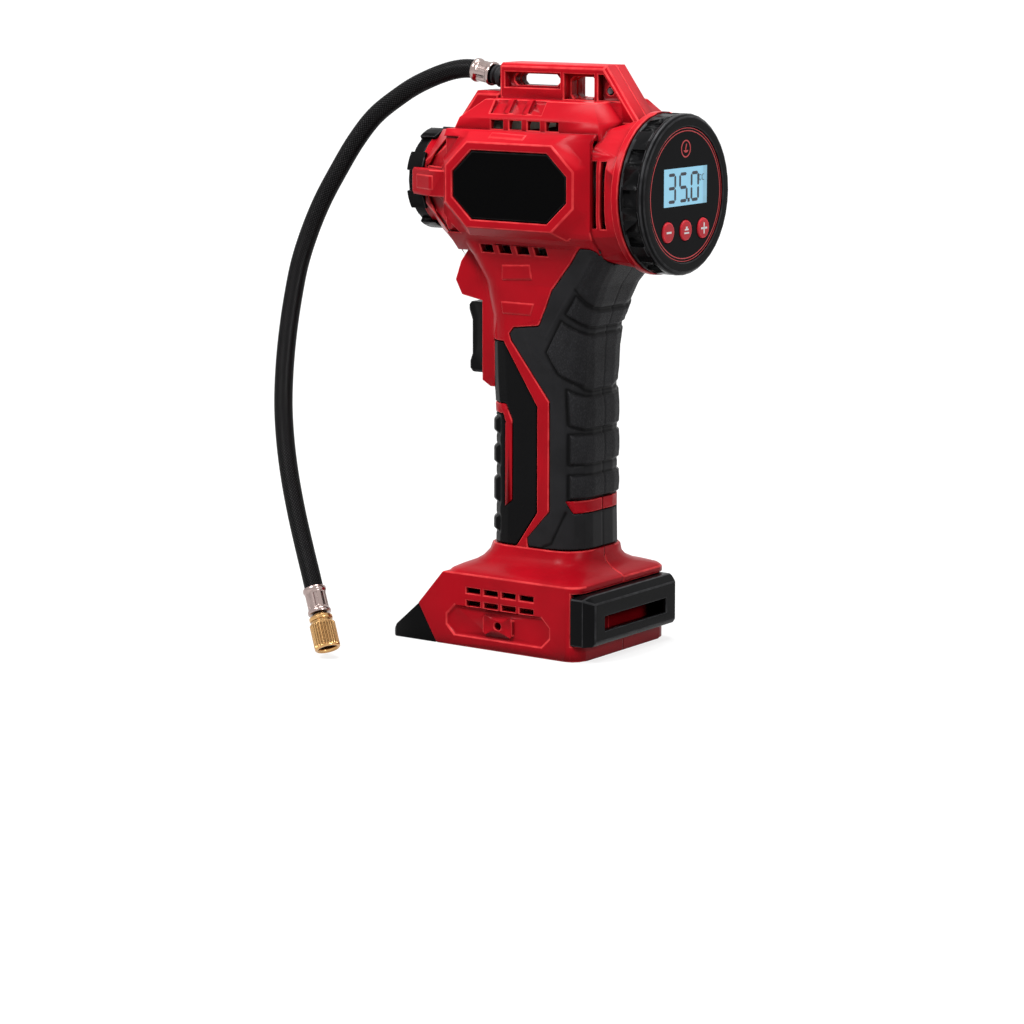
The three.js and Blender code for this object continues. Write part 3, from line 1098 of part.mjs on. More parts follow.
/** The plate that the motor, the crank and the cylinder are fixed to. */
function pumpFrame() {
  const outline = octagon(0, (crankZ + motorZ) / 2 - 1, PLATE_HALF, 26, 5, 5);
  const plate = endPlate(outline, plateFrontX, plateRearX);
  const armX = cylinderX - CYLINDER_RADIUS;
  const arms = bothSides((side) => {
    const [y0, y1] = [CYLINDER_RADIUS + 1, CYLINDER_RADIUS + 4].map((y) => side * y).sort((a, b) => a - b);
    return block(armX, plateFrontX + 0.5, y0, y1, cylinderLowZ, armTopZ);
  });
  const through = (radius, z) => rod(radius, vec(plateFrontX - 1, 0, z), vec(plateRearX + 1, 0, z));
  piece('pump_frame', ALUMINIUM, cut(join(plate, arms), through(5 + GAP, motorZ),
    through(BEARING_RADIUS + GAP, crankZ)));
}

function cylinderGroup() {
  const at = (z) => vec(cylinderX, 0, z);
  const flange = block(cylinderX - CYLINDER_RADIUS, cylinderX + CYLINDER_RADIUS, -CYLINDER_RADIUS - 4,
    CYLINDER_RADIUS + 4, armTopZ + GAP, armTopZ + GAP + 3);
  const barrelShape = rod(CYLINDER_RADIUS, at(cylinderLowZ), at(cylinderTopZ));
  const bore = rod(BORE_RADIUS, at(cylinderLowZ - 1), at(cylinderTopZ + 1));
  piece('cylinder', ALUMINIUM, cut(join(barrelShape, flange), bore));
  piece('head_gasket', SEAL_RUBBER, sleeve(CYLINDER_RADIUS, BORE_RADIUS, at(cylinderTopZ + GAP),
    at(cylinderTopZ + GAP + GASKET_THICKNESS)));
  const plan = octagon(cylinderX, 0, CYLINDER_RADIUS - 0.6, CYLINDER_RADIUS + 1.4, 3, 3);
  const body = floorPlate(plan, headLowZ, headTopZ - 2.4);
  const fins = [-8, -4, 4, 8].map((y) => block(cylinderX - 8, cylinderX + 8, y - 0.8, y + 0.8, headTopZ - 3,
    headTopZ - 0.4));
  piece('cylinder_head', ALUMINIUM, join(body, ...fins, rod(3, at(headTopZ - 3), at(headTopZ), 6)));

  const roofZ = wristZ + WRIST_EYE_RADIUS + GAP;
  const lowZ = wristZ - PISTON_DOWN;
  const grooveZ = crownZ - 1.6;
  const piston = turned([[BORE_RADIUS - 2.4, lowZ], [PISTON_RADIUS, lowZ], [PISTON_RADIUS, grooveZ - 1.1],
    [PISTON_RADIUS - 1.4, grooveZ - 1.1], [PISTON_RADIUS - 1.4, grooveZ], [PISTON_RADIUS, grooveZ],
    [PISTON_RADIUS, crownZ], [0, crownZ], [0, roofZ], [BORE_RADIUS - 2.4, roofZ], [BORE_RADIUS - 2.4, lowZ]],
  at(0), Z);
  const pinLine = (x) => vec(cylinderX + x, 0, wristZ);
  const pinHalf = PISTON_RADIUS - 0.9;
  piece('piston', ALUMINIUM, cut(piston, rod(WRIST_PIN_RADIUS + GAP, pinLine(-12), pinLine(12), 16)));
  piece('piston_ring', SEAL_RUBBER, sleeve(PISTON_RADIUS + 0.12, PISTON_RADIUS - 1.1, at(grooveZ - 0.9),
    at(grooveZ - 0.2)));
  piece('wrist_pin', STEEL, rod(WRIST_PIN_RADIUS, pinLine(-pinHalf), pinLine(pinHalf), 16));

  const [rodFront, rodRear] = [cylinderX - ROD_THICKNESS / 2, cylinderX + ROD_THICKNESS / 2];
  const eye = (radius, z) => rod(radius, vec(rodFront, 0, z), vec(rodRear, 0, z), 20);
  const hole = (radius, z) => rod(radius, vec(rodFront - 1, 0, z), vec(rodRear + 1, 0, z), 16);
  piece('connecting_rod', ALUMINIUM, cut(
    join(eye(CRANK_PIN_RADIUS + 2.8, crankTopZ), eye(WRIST_EYE_RADIUS, wristZ),
      block(rodFront + 1, rodRear - 1, -2.2, 2.2, crankTopZ, wristZ)),
    hole(CRANK_PIN_RADIUS + GAP, crankTopZ),
    hole(WRIST_PIN_RADIUS + GAP, wristZ),
  ));
}

// ---------------------------------------------------------------- pipes, leads and battery contacts

function airLines() {
  piece('air_pipe', COPPER, tube(airPipeRoute, AIR_PIPE_RADIUS, 8, 10));
  const portX = boardBackX - GAP - 7;
  const headSide = CYLINDER_RADIUS + 1.4 + GAP;
  const portZ = headLowZ + 2.4;
  const route = [vec(cylinderX + 3, headSide, portZ), vec(cylinderX + 3, headSide + 1.6, portZ),
    vec(cylinderX + 7, 17.4, up(26)), vec(-3, 17, up(23.8)), vec(8, 17, up(20)), vec(30, 17, up(19.7)),
    vec(portX - 8, 16.8, up(18.6)), vec(portX - 4, 14, sensorZ + 2.6), vec(portX - 3.4, 6, sensorZ + 0.6),
    vec(portX - 2.2, 1, sensorZ), vec(portX - 1.1, 0, sensorZ), vec(portX - GAP, 0, sensorZ)];
  piece('sensor_pipe', LEAD_BLACK, tube(route, 1.3, 8, 20));
}

function batteryContacts() {
  const blades = [['contact_positive', -8], ['contact_negative', 8]];
  const topZ = BAY_CEILING_Z - GAP;
  const half = 0.5;
  const slots = blades.map(([, y]) => block(0, BLADE_REAR_X + GAP, y - half - GAP, y + half + GAP,
    BLADE_LOW_Z - GAP, BLADE_HIGH_Z + GAP));
  const holder = block(4, BAY_REAR_X - GAP, -12, 12, BLADE_LOW_Z - 3, topZ);
  piece('terminal_block', BLACK_PLASTIC, cut(holder, ...slots));
  for (const [name, y] of blades) {
    piece(name, BRASS, block(-6, BLADE_REAR_X, y - half, y + half, BLADE_LOW_Z, BLADE_HIGH_Z));
  }
}

function leads() {
  for (const [name, side, material] of [['lead_positive', -1, LEAD_RED], ['lead_negative', 1, LEAD_BLACK]]) {
    piece(`battery_${name}`, material, tube([vec(LEAD_X, side * 5, BAY_CEILING_Z), vec(LEAD_X, side * 5, 24),
      vec(LEAD_X + 2, side * 7, GRIP_FOOT_Z + 2.8), vec(LEAD_X + 2, side * 7, switchLowZ - 18),
      vec(LEAD_X + 1.4, side * 5, switchLowZ + 2),
      vec(SWITCH_REAR_X + 3, side * 4, switchLowZ + 7), vec(SWITCH_REAR_X + GAP, side * 4, switchLowZ + 7)],
    LEAD_RADIUS, 6, 20));
    const capX = motorRearX + GAP + 2.6;
    piece(`motor_${name}`, material, tube([vec(SWITCH_REAR_X + 2 + GAP, side * 3, switchHighZ - 4),
      vec(SWITCH_REAR_X + 4, side * 3, switchHighZ - 4), vec(SWITCH_REAR_X + 6.4, side * 4, switchHighZ - 1),
      vec(LEAD_X + 2.6, side * 8, switchHighZ + 14),
      vec(LEAD_X + 4, side * 9, motorZ - MOTOR_RADIUS - 12), vec(26, side * 9, motorZ - MOTOR_RADIUS - 3.6),
      vec(capX - 2, side * 9, motorZ - MOTOR_RADIUS - 3.6),
      vec(capX + 1.6, side * 10, motorZ - MOTOR_RADIUS + 1),
      vec(capX + GAP + LEAD_RADIUS, side * 10, motorZ - 7)], LEAD_RADIUS, 6, 20));
  }
}

// ---------------------------------------------------------------- the hose

function hoseGroup() {
  piece('outlet_fitting', NICKEL, rod(FITTING_RADIUS, alongOutlet(-3.4), alongOutlet(BOOT_LENGTH + 1.2), 16));
  const start = OUTLET_COLLAR + GAP;
  const boot = [[FITTING_RADIUS + GAP, start], [BOOT_RADIUS, start], [BOOT_RADIUS, start + 1.6],
    [BOOT_RADIUS - 0.4, start + 2.2], [BOOT_RADIUS - 0.4, BOOT_LENGTH], [FITTING_RADIUS + GAP, BOOT_LENGTH],
    [FITTING_RADIUS + GAP, start]];
  piece('hose_boot', SEAL_RUBBER, turned(boot, outlet, outletWay, 24));
  const ferrule = (length, hole) => [[0, hole], [FITTING_RADIUS + GAP, hole], [FITTING_RADIUS + GAP, 0],
    [FERRULE_RADIUS - 0.5, 0], [FERRULE_RADIUS, 0.5], [FERRULE_RADIUS, 1.8], [FERRULE_RADIUS - 0.7, 2.5],
    [FERRULE_RADIUS - 0.7, length - 2.5], [FERRULE_RADIUS, length - 1.8], [FERRULE_RADIUS, length - 0.5],
    [FERRULE_RADIUS - 0.5, length], [0, length]];
  piece('hose_ferrule_top', NICKEL, turned(ferrule(FERRULE_LENGTH, 1.6), alongOutlet(BOOT_LENGTH + GAP),
    outletWay, 24));
  const route = [alongOutlet(hoseStart), alongOutlet(hoseStart + 1.5), ...HOSE_ROUTE.map((p) => vec(...p)),
    alongChuck(hoseEnd + 6), alongChuck(hoseEnd)];
  piece('hose', RUBBER_GREY, tube(route, HOSE_RADIUS, 10, 44));
  piece('hose_ferrule_end', NICKEL, turned(ferrule(END_FERRULE_LENGTH, 1.2), alongChuck(CHUCK_LENGTH + GAP),
    chuckWay.clone().negate(), 24));
  const depth = 9;
  piece('valve_chuck', BRASS, turned([[0, depth], [CHUCK_SOCKET_RADIUS, depth], [CHUCK_SOCKET_RADIUS, 0],
    [CHUCK_RADIUS - 0.6, 0], [CHUCK_RADIUS, 0.6], [CHUCK_RADIUS, CHUCK_LENGTH - 5],
    [CHUCK_RADIUS - 0.8, CHUCK_LENGTH - 4.2], [CHUCK_RADIUS - 0.8, CHUCK_LENGTH - 2.6],
    [FITTING_RADIUS + 1.4, CHUCK_LENGTH - 0.6], [FITTING_RADIUS + 1.4, CHUCK_LENGTH], [0, CHUCK_LENGTH]],
  chuckTip, chuckWay.clone().negate(), 28));
  piece('chuck_seal', SEAL_RUBBER, sleeve(CHUCK_SOCKET_RADIUS - GAP, 1.4, alongChuck(depth - 2.8),
    alongChuck(depth - GAP), 20));
}

// ---------------------------------------------------------------- the assembly

housingHalves();
softCovers();
sidePanels();
frontCap();
rearCover();
toes();
gaugeBezel();
gaugeFace();
triggerGroup();
motor();
gears();
pumpFrame();
cylinderGroup();
airLines();
batteryContacts();
leads();
hoseGroup();

export default inflator;
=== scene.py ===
"""The looks of a cordless tire inflator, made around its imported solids.

Lengths are written in millimetres and turned into metres where a mesh is made.
X runs from the nose to the gauge's face, Y to the holder's right and Z up.
"""

import json
import math

import bmesh
import bpy
import numpy as np
from mathutils import Matrix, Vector
from mathutils.bvhtree import BVHTree

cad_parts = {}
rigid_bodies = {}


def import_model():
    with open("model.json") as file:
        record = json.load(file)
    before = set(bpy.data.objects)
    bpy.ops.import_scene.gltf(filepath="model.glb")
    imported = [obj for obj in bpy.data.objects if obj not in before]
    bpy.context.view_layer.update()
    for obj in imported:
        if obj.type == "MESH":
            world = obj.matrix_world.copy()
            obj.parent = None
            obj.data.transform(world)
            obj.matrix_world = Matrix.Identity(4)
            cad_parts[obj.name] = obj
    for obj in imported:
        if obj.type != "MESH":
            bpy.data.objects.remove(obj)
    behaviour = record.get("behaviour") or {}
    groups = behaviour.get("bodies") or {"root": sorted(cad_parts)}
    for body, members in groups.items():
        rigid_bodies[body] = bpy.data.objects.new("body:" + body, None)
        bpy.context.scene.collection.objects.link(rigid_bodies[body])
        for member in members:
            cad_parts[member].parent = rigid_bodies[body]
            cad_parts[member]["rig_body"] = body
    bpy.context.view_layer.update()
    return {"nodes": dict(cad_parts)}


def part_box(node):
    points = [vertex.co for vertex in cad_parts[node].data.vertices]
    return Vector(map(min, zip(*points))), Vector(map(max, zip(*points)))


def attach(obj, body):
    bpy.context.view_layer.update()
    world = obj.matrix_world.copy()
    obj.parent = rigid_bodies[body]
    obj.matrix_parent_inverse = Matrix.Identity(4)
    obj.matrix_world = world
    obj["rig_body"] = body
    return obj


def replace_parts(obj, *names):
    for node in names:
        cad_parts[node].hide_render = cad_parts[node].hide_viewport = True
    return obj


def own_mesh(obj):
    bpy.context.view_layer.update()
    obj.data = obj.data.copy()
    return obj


bl_info = {
    "name": "Tire Inflator",
    "version": (1, 0, 0),
    "blender": (4, 5, 0),
    "location": "View3D > Sidebar > Inflator",
    "description": "Dresses the solids of a pistol-grip tire inflator in its finished surfaces",
    "category": "Add Mesh",
}

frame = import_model()
MM = 0.001
LEFT, RIGHT = -1, 1


def node_box(name):
    """Lowest and highest corner of a CAD node, in millimetres."""
    low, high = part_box(name)
    return np.array(low) / MM, np.array(high) / MM


GAUGE_Z = sum(corner[2] for corner in node_box("gauge_bezel")) / 2
LENS_FACE_X = node_box("gauge_lens")[1][0]


# ---------------------------------------------------------------- sizes and colours


class ShellSizes(bpy.types.PropertyGroup):
    """The moulded shell's edges."""

    edge: bpy.props.FloatProperty(
        name="Edge rounding", description="Width of the rounding on the shell's edges, in mm",
        default=0.55, min=0.1, max=1.5)
    steps: bpy.props.IntProperty(
        name="Rounding steps", description="Facets across each rounding", default=2, min=1, max=4)


class GripSizes(bpy.types.PropertyGroup):
    """The soft covers on the grip."""

    voxel: bpy.props.FloatProperty(
        name="Mesh size", description="Side of one face of the moulded covers, in mm",
        default=0.56, min=0.4, max=2)
    pad_rise: bpy.props.FloatProperty(
        name="Pad height", description="How far the grained pads stand out, in mm",
        default=0.8, min=0, max=2)
    finger_rise: bpy.props.FloatProperty(
        name="Finger pad height", description="How far the finger pads stand out, in mm",
        default=1.1, min=0, max=2)


class HoseSizes(bpy.types.PropertyGroup):
    """The air hose and its braided cover."""

    diameter: bpy.props.FloatProperty(
        name="Diameter", description="Diameter over the cover, in mm",
        default=8.4, min=5, max=14)
    strands: bpy.props.IntProperty(
        name="Strands", description="Strands of the cover that run each way round",
        default=20, min=6, max=24)
    strand_rise: bpy.props.FloatProperty(
        name="Strand height", description="How far a strand stands out, in mm",
        default=0.16, min=0, max=0.5)


class GaugeSizes(bpy.types.PropertyGroup):
    """What is printed and shown on the gauge."""

    reading: bpy.props.StringProperty(
        name="Reading", description="Digits and point shown on the display", default="35.0")
    ring_radius: bpy.props.FloatProperty(
        name="Ring radius", description="Radius of the thin red ring, in mm",
        default=27.2, min=20, max=28)
    digit_height: bpy.props.FloatProperty(
        name="Digit height", description="Height of the shown digits, in mm",
        default=11.4, min=5, max=14)


def colour_property(name, description, default):
    """A colour that a user can change."""
    return bpy.props.FloatVectorProperty(
        name=name, description=description, subtype="COLOR", size=3, default=default, min=0, max=1)


class FinishColours(bpy.types.PropertyGroup):
    """The colours of the main finishes."""

    shell_red: colour_property("Shell red", "The moulded shell", (0.46, 0.004, 0.012))
    trim_black: colour_property("Trim black", "The hard black covers", (0.004, 0.004, 0.0044))
    rubber: colour_property("Rubber", "The soft covers of the grip", (0.019, 0.019, 0.0205))
    brass: colour_property("Brass", "The valve chuck", (0.58, 0.34, 0.14))
    nickel: colour_property("Nickel", "The hose's ferrules", (0.4, 0.31, 0.29))
    display: colour_property("Display", "The lit display", (0.23, 0.5, 0.66))


class StageSizes(bpy.types.PropertyGroup):
    """The floor and the light."""

    floor: bpy.props.FloatProperty(
        name="Floor", description="Side of the floor, in metres", unit="LENGTH",
        default=60, min=1, max=100)
    key_power: bpy.props.FloatProperty(
        name="Key light", description="Power of the key and the top lamp, in watts", unit="POWER",
        default=21, min=0, max=200)


# ---------------------------------------------------------------- shader maths


class Value:
    """An output of a shader node. Operators on it add the Math nodes that work them out."""

    def __init__(self, nodes, socket):
        self.nodes = nodes
        self.socket = socket

    def math(self, operation, *others):
        """This value and others through one Math node."""
        return self.nodes.add("ShaderNodeMath", [self, *others], operation=operation)

    def __add__(self, other):
        return self.math("ADD", other)

    def __sub__(self, other):
        return self.math("SUBTRACT", other)

    def __rsub__(self, other):
        return self.nodes.add("ShaderNodeMath", [other, self], operation="SUBTRACT")

    def __mul__(self, other):
        return self.math("MULTIPLY", other)

    __radd__ = __add__
    __rmul__ = __mul__

    def step(self, low, high):
        """0 below low, 1 above high and a smooth rise between them."""
        return self.nodes.add("ShaderNodeMapRange", {"Value": self, "From Min": low, "From Max": high},
                              interpolation_type="SMOOTHSTEP")


class Nodes:
    """A tree whose nodes are added one by one."""

    def __init__(self, tree):
        self.tree = tree

    def add(self, kind, values=(), output=0, **settings):
        """Adds a node with its settings and the values or links of its sockets.

        It gives one of the node's outputs, which is told by its name or its place.
        """
        node = self.tree.nodes.new(kind)
        for name, setting in settings.items():
            setattr(node, name, setting)
        pairs = values.items() if isinstance(values, dict) else enumerate(values)
        for key, value in pairs:
            self.feed(node.inputs[key], value)
        return Value(self, node.outputs[output])

    def feed(self, socket, value):
        """Links a value to a socket, or writes a number or a colour there."""
        if isinstance(value, Value):
            self.tree.links.new(value.socket, socket)
        elif hasattr(value, "__len__") and len(value) == 3 and socket.type == "RGBA":
            socket.default_value = (*value, 1)
        else:
            socket.default_value = value

    def seen(self):
        """1 for the camera's rays and for those that shiny or clear pieces send on, and 0 for the others."""
        camera, glossy, clear = (self.add("ShaderNodeLightPath", output=ray)
                                 for ray in ("Is Camera Ray", "Is Glossy Ray", "Is Transmission Ray"))
        return camera.math("MAXIMUM", glossy).math("MAXIMUM", clear)


def finish_key(name):
    """The name of a finish's material, which differs from the names of the CAD's own materials."""
    return f"{name}_finish"


class Shader(Nodes):
    """The nodes of a new material."""

    def __init__(self, name):
        self.material = bpy.data.materials.new(finish_key(name))
        self.material.use_nodes = True
        super().__init__(self.material.node_tree)
        self.surface = self.tree.nodes["Principled BSDF"]

    def finish(self, **sockets):
        """Feeds the surface's sockets, whose names are written with _ for spaces."""
        for name, value in sockets.items():
            self.feed(self.surface.inputs[name.replace("_", " ")], value)

    def place(self):
        """The point on the piece, in metres."""
        return self.add("ShaderNodeTexCoord", output="Object")

    def noise(self, size, detail=2, at=None):
        """Soft noise from 0 to 1 whose blotches are about size mm across."""
        values = {"Vector": at or self.place(), "Scale": 1 / (size * MM), "Detail": detail}
        return self.add("ShaderNodeTexNoise", values, noise_dimensions="3D")

    def cells(self, size, at):
        """Distance to the nearest of random points that lie about size mm apart."""
        values = {"Vector": at, "Scale": 1 / (size * MM)}
        return self.add("ShaderNodeTexVoronoi", values, output="Distance", feature="F1")

    def attribute(self, name):
        """A number that the mesh holds for each of its points."""
        return self.add("ShaderNodeAttribute", output="Fac", attribute_name=name)

    def mix(self, factor, first, second):
        """The first colour where factor is 0 and the second where it is 1.

        A Mix node's colours are its sockets 6 and 7, and the mixed colour is its output 2.
        """
        return self.add("ShaderNodeMix", {0: factor, 6: first, 7: second}, output=2, data_type="RGBA")

    def bump(self, height, depth, normal=None):
        """A normal tilted by a height from 0 to 1 that stands for depth mm."""
        values = {"Height": height, "Distance": depth * MM, "Strength": 1}
        if normal is not None:
            values["Normal"] = normal
        return self.add("ShaderNodeBump", values)

    def rounded(self, radius):
        """The normal of the surface with its edges rounded by radius mm."""
        return self.add("ShaderNodeBevel", {"Radius": radius * MM}, output="Normal", samples=4)

    def openness(self, reach):
        """1 on open surface and less in corners and grooves that are up to reach mm wide."""
        return self.add("ShaderNodeAmbientOcclusion", {"Distance": reach * MM}, output="AO", samples=5)

    def edges(self, radius):
        """1 on edges that a radius in mm would round and 0 on flat stretches.

        It rises with 1 minus the cosine between the rounded normal and the surface's own.
        """
        soft = self.rounded(radius)
        flat = self.add("ShaderNodeNewGeometry", output="Normal")
        along = self.add("ShaderNodeVectorMath", [soft, flat], output="Value", operation="DOT_PRODUCT")
        return (1 - along).step(0.01, 0.25)


# ---------------------------------------------------------------- finishes

# Where the display begins to darken and is darkest, along Y in metres.
DISPLAY_SHADE = (0.0128, 0.0146)


def shade(colour, factor):
    """A colour made lighter or darker by a factor."""
    return tuple(min(1.0, c * factor) for c in colour)


def moulded(name, colour, gloss=0.36, grain=0.035, edge=0.5, shine=0.2, rim=None):
    """Hard moulded plastic: a fine eroded grain, flow blotches, painted shade in its corners and a painted
    highlight on its edges.

    Its rounded edges take the highlight colour rim where the mesh's own number rim is 1.
    """
    shader = Shader(name)
    cloud = shader.noise(24, 3)
    fleck = shader.noise(0.5, 1)
    # The mask of the painted highlight on the rounded edges, broken up by noise.
    edge_highlight = shader.attribute("rim") * (shader.noise(5, 2).step(0.25, 0.75) * 0.6 + 0.4)
    base = shader.mix(cloud.step(0.3, 0.7), shade(colour, 0.86), shade(colour, 1.08))
    # Painted shade: corners and grooves darkened to a quarter of the colour.
    base = shader.mix(shader.openness(7).step(0.3, 0.95), shade(colour, 0.25), base)
    # Painted highlight: the rounded edges lightened towards the rim colour.
    base = shader.mix(edge_highlight, base, rim or tuple(c * 1.6 + 0.012 for c in colour))
    rough = fleck * 0.1 + (cloud * 0.08 + (gloss - 0.09))
    bumps = shader.bump(fleck, grain, shader.rounded(edge))
    shader.finish(Base_Color=base, Roughness=rough, Normal=bumps, Specular_IOR_Level=shine)


def soft_touch(name, colour):
    """Moulded rubber: pebbled and finely scored on the raised pads, smooth and a little shinier elsewhere."""
    shader = Shader(name)
    pad = shader.attribute("pad")
    groove = shader.attribute("groove")
    place = shader.place()
    lean = shader.add("ShaderNodeMapping", {"Vector": place, "Rotation": (0, math.radians(38), 0),
                                            "Scale": (1, 1, 0.3)})
    pebble = shader.cells(0.55, at=place)
    score = shader.noise(0.26, 1, at=lean)
    grain = (pebble * 0.6 + score * 0.8) * pad + shader.noise(0.5, 2) * 0.12
    cloud = shader.noise(14, 3)
    base = shader.mix(cloud.step(0.25, 0.75), shade(colour, 0.8), shade(colour, 1.2))
    base = shader.mix(score.step(0.5, 0.72) * pad * 0.5, base, shade(colour, 3))
    # Painted highlight: the edges lightened up to five times.
    base = shader.mix(shader.edges(0.6) * 0.5, base, shade(colour, 5))
    # Painted shade in corners.
    base = shader.mix(shader.openness(4).step(0.4, 0.95), shade(colour, 0.15), base)
    # Painted shade: the grooves nearly black.
    base = shader.mix(groove * 0.95, base, shade(colour, 0.05))
    rough = pad * 0.12 + (cloud * 0.1 + 0.26)
    shader.finish(Base_Color=base, Roughness=rough, Normal=shader.bump(grain, 0.16), Specular_IOR_Level=0.05)


def plain_rubber(name, colour):
    """Smooth black rubber with a dusty bloom."""
    shader = Shader(name)
    bloom = shader.noise(3, 4)
    base = shader.mix(bloom.step(0.4, 0.8), colour, shade(colour, 1.7))
    shader.finish(Base_Color=base, Roughness=bloom * 0.2 + 0.42, Specular_IOR_Level=0.15,
                  Normal=shader.bump(shader.noise(0.4, 2), 0.03, shader.rounded(0.3)))


def braid(name):
    """The hose's woven cover: black yarn whose strands are glossy where they lie on top, and painted lighter
    there as a highlight.
    """
    shader = Shader(name)
    rise = shader.attribute("strand")
    thread = shader.noise(0.3, 2)
    crown = rise.step(0.5, 0.85)
    # Painted highlight: the strands' tops lightened in flecks.
    base = shader.mix(crown * thread.step(0.3, 0.7), (0.0006, 0.0006, 0.0007), (0.035, 0.033, 0.035))
    shader.finish(Base_Color=base, Roughness=thread * 0.2 + 0.4, Normal=shader.bump(thread, 0.03),
                  Specular_IOR_Level=0.04, Coat_Weight=crown * 0.35, Coat_Roughness=0.16)


def metal(name, colour, roughness, scratch=0.02, crease=1.0):
    """Machined metal: fine turning marks scratch mm deep, a cloudy tarnish and a painted highlight on its
    edges.

    Grooves are darkened as painted shade, from not at all where crease is 0 to nearly black where it is 1.
    """
    shader = Shader(name)
    lines = shader.noise(0.25, 3)
    cloud = shader.noise(2.4, 3)
    base = shader.mix(cloud.step(0.35, 0.75) * 0.3, colour, shade(colour, 0.55))
    # Painted highlight on the edges.
    base = shader.mix(shader.edges(0.25) * 0.5, base, shade(colour, 1.3))
    # Painted shade in grooves, as deep as crease says.
    base = shader.mix(shader.openness(1.2).step(0.3, 0.9), shade(colour, 1 - 0.9 * crease), base)
    rough = lines * 0.1 + (cloud * 0.1 + (roughness - 0.1))
    shader.finish(Base_Color=base, Metallic=1.0, Roughness=rough,
                  Normal=shader.bump(lines, scratch, shader.rounded(0.2)))


def polished(name, colour):
    """A clear, hard gloss over a dark print, with faint wiping marks."""
    shader = Shader(name)
    wipe = shader.noise(9, 4)
    base = shader.mix(wipe, colour, shade(colour, 1.3))
    shader.finish(Base_Color=base, Roughness=wipe * 0.05 + 0.07, Normal=shader.rounded(0.2),
                  Specular_IOR_Level=0.03)


def display_light(name, colour):
    """The display's lit ground, which darkens a little at its right side."""
    shader = Shader(name)
    across = shader.add("ShaderNodeSeparateXYZ", [shader.place()], output="Y")
    fade = across.step(*DISPLAY_SHADE)
    base = shader.mix(fade * 0.5, colour, shade(colour, 0.5))
    base = shader.mix(shader.noise(6, 3).step(0.4, 0.8) * 0.15, base, shade(colour, 1.25))
    shader.finish(Base_Color=base, Roughness=0.3, Emission_Color=base, Emission_Strength=0.55)


def printed(name, colour, light):
    """Ink: one colour with a faint unevenness, which gives off some light as a painted glow."""
    shader = Shader(name)
    base = shader.mix(shader.noise(0.8, 3), shade(colour, 0.88), shade(colour, 1.08))
    shader.finish(Base_Color=base, Roughness=0.4, Emission_Color=base, Emission_Strength=light)


def circuit_board(name):
    """Solder mask over a copper pattern of straight tracks."""
    shader = Shader(name)
    tracks = shader.add("ShaderNodeTexBrick", {"Vector": shader.place(), "Scale": 320.0, "Mortar Size": 0.03},
                        output="Fac")
    base = shader.mix(tracks, (0.01, 0.13, 0.05), (0.03, 0.26, 0.1))
    rough = shader.noise(1, 2) * 0.2 + 0.25
    shader.finish(Base_Color=base, Roughness=rough, Normal=shader.bump(tracks, 0.04))


def make_finishes(colours):
    """Every finish of the object."""
    red, black = tuple(colours.shell_red), tuple(colours.trim_black)
    # The rim colours are painted highlights on the rounded edges.
    moulded("shell_red", red, gloss=0.32, edge=0.9, shine=0.08, rim=(0.85, 0.06, 0.065))
    moulded("trim_black", black, gloss=0.32, grain=0.05, shine=0.05, rim=(0.03, 0.03, 0.032))
    moulded("satin_black", shade(black, 1.3), gloss=0.24, grain=0.03, edge=0.6, shine=0.04,
            rim=(0.05, 0.05, 0.053))
    moulded("panel_black", shade(black, 0.3), gloss=0.62, grain=0.08, edge=0.3, shine=0.02)
    soft_touch("grip_rubber", tuple(colours.rubber))
    plain_rubber("seal_rubber", (0.01, 0.01, 0.011))
    braid("hose_braid")
    polished("lens_black", (0.004, 0.004, 0.005))
    display_light("display_blue", tuple(colours.display))
    printed("display_segment", (0.006, 0.012, 0.03), light=0.0)
    # The red and white prints glow a little: painted light.
    printed("print_red", (0.55, 0.03, 0.035), light=0.15)
    printed("print_white", (0.85, 0.85, 0.85), light=0.1)
    moulded("button_red", (0.66, 0.02, 0.035), gloss=0.34, edge=0.25)
    metal("brass", tuple(colours.brass), 0.2, scratch=0.006)
    metal("nickel", tuple(colours.nickel), 0.18, scratch=0.006)
    metal("steel", (0.56, 0.56, 0.57), 0.32, crease=0.4)
    metal("dark_steel", (0.1, 0.1, 0.105), 0.42, crease=0.4)
    metal("aluminium", (0.62, 0.58, 0.5), 0.42, scratch=0.06, crease=0.4)
    metal("copper", (0.7, 0.32, 0.17), 0.3, crease=0.4)
    moulded("white_nylon", (0.72, 0.69, 0.6), gloss=0.5)
    circuit_board("circuit_board")
    plain_rubber("lead_red", (0.5, 0.01, 0.012))
    plain_rubber("lead_black", (0.012, 0.012, 0.013))


def finish_named(name):
    """A finish that make_finishes has made."""
    return bpy.data.materials[finish_key(name)]


# ---------------------------------------------------------------- meshes

# Points of a solid this close together are one, and faces this thin are left out, in mm.
JOIN_WITHIN = 0.002
SLIVER = 0.01
# Edges that turn by more than this many degrees are rounded.
SHARP_ANGLE = 32
# A point is stray at this share of the rounding off the solid, and spoils the edges within the second share.
STRAY_SHARE = 0.32
CROWD_SHARE = 1.2
ROUNDING_TRIES = 3


def grid_faces(rows, columns, close_rows=False, close_columns=True):
    """Quads between neighbours of a grid of points that is numbered row by row.

    The point in row r and column c has the number r * columns + c, and a closed grid's last row or column
    has the first for its neighbour.
    """
    r = np.arange(rows if close_rows else rows - 1)
    c = np.arange(columns if close_columns else columns - 1)
    r, c = (a.ravel() for a in np.meshgrid(r, c, indexing="ij"))
    below, beside = (r + 1) % rows, (c + 1) % columns
    return np.stack([r * columns + c, r * columns + beside, below * columns + beside, below * columns + c], 1)


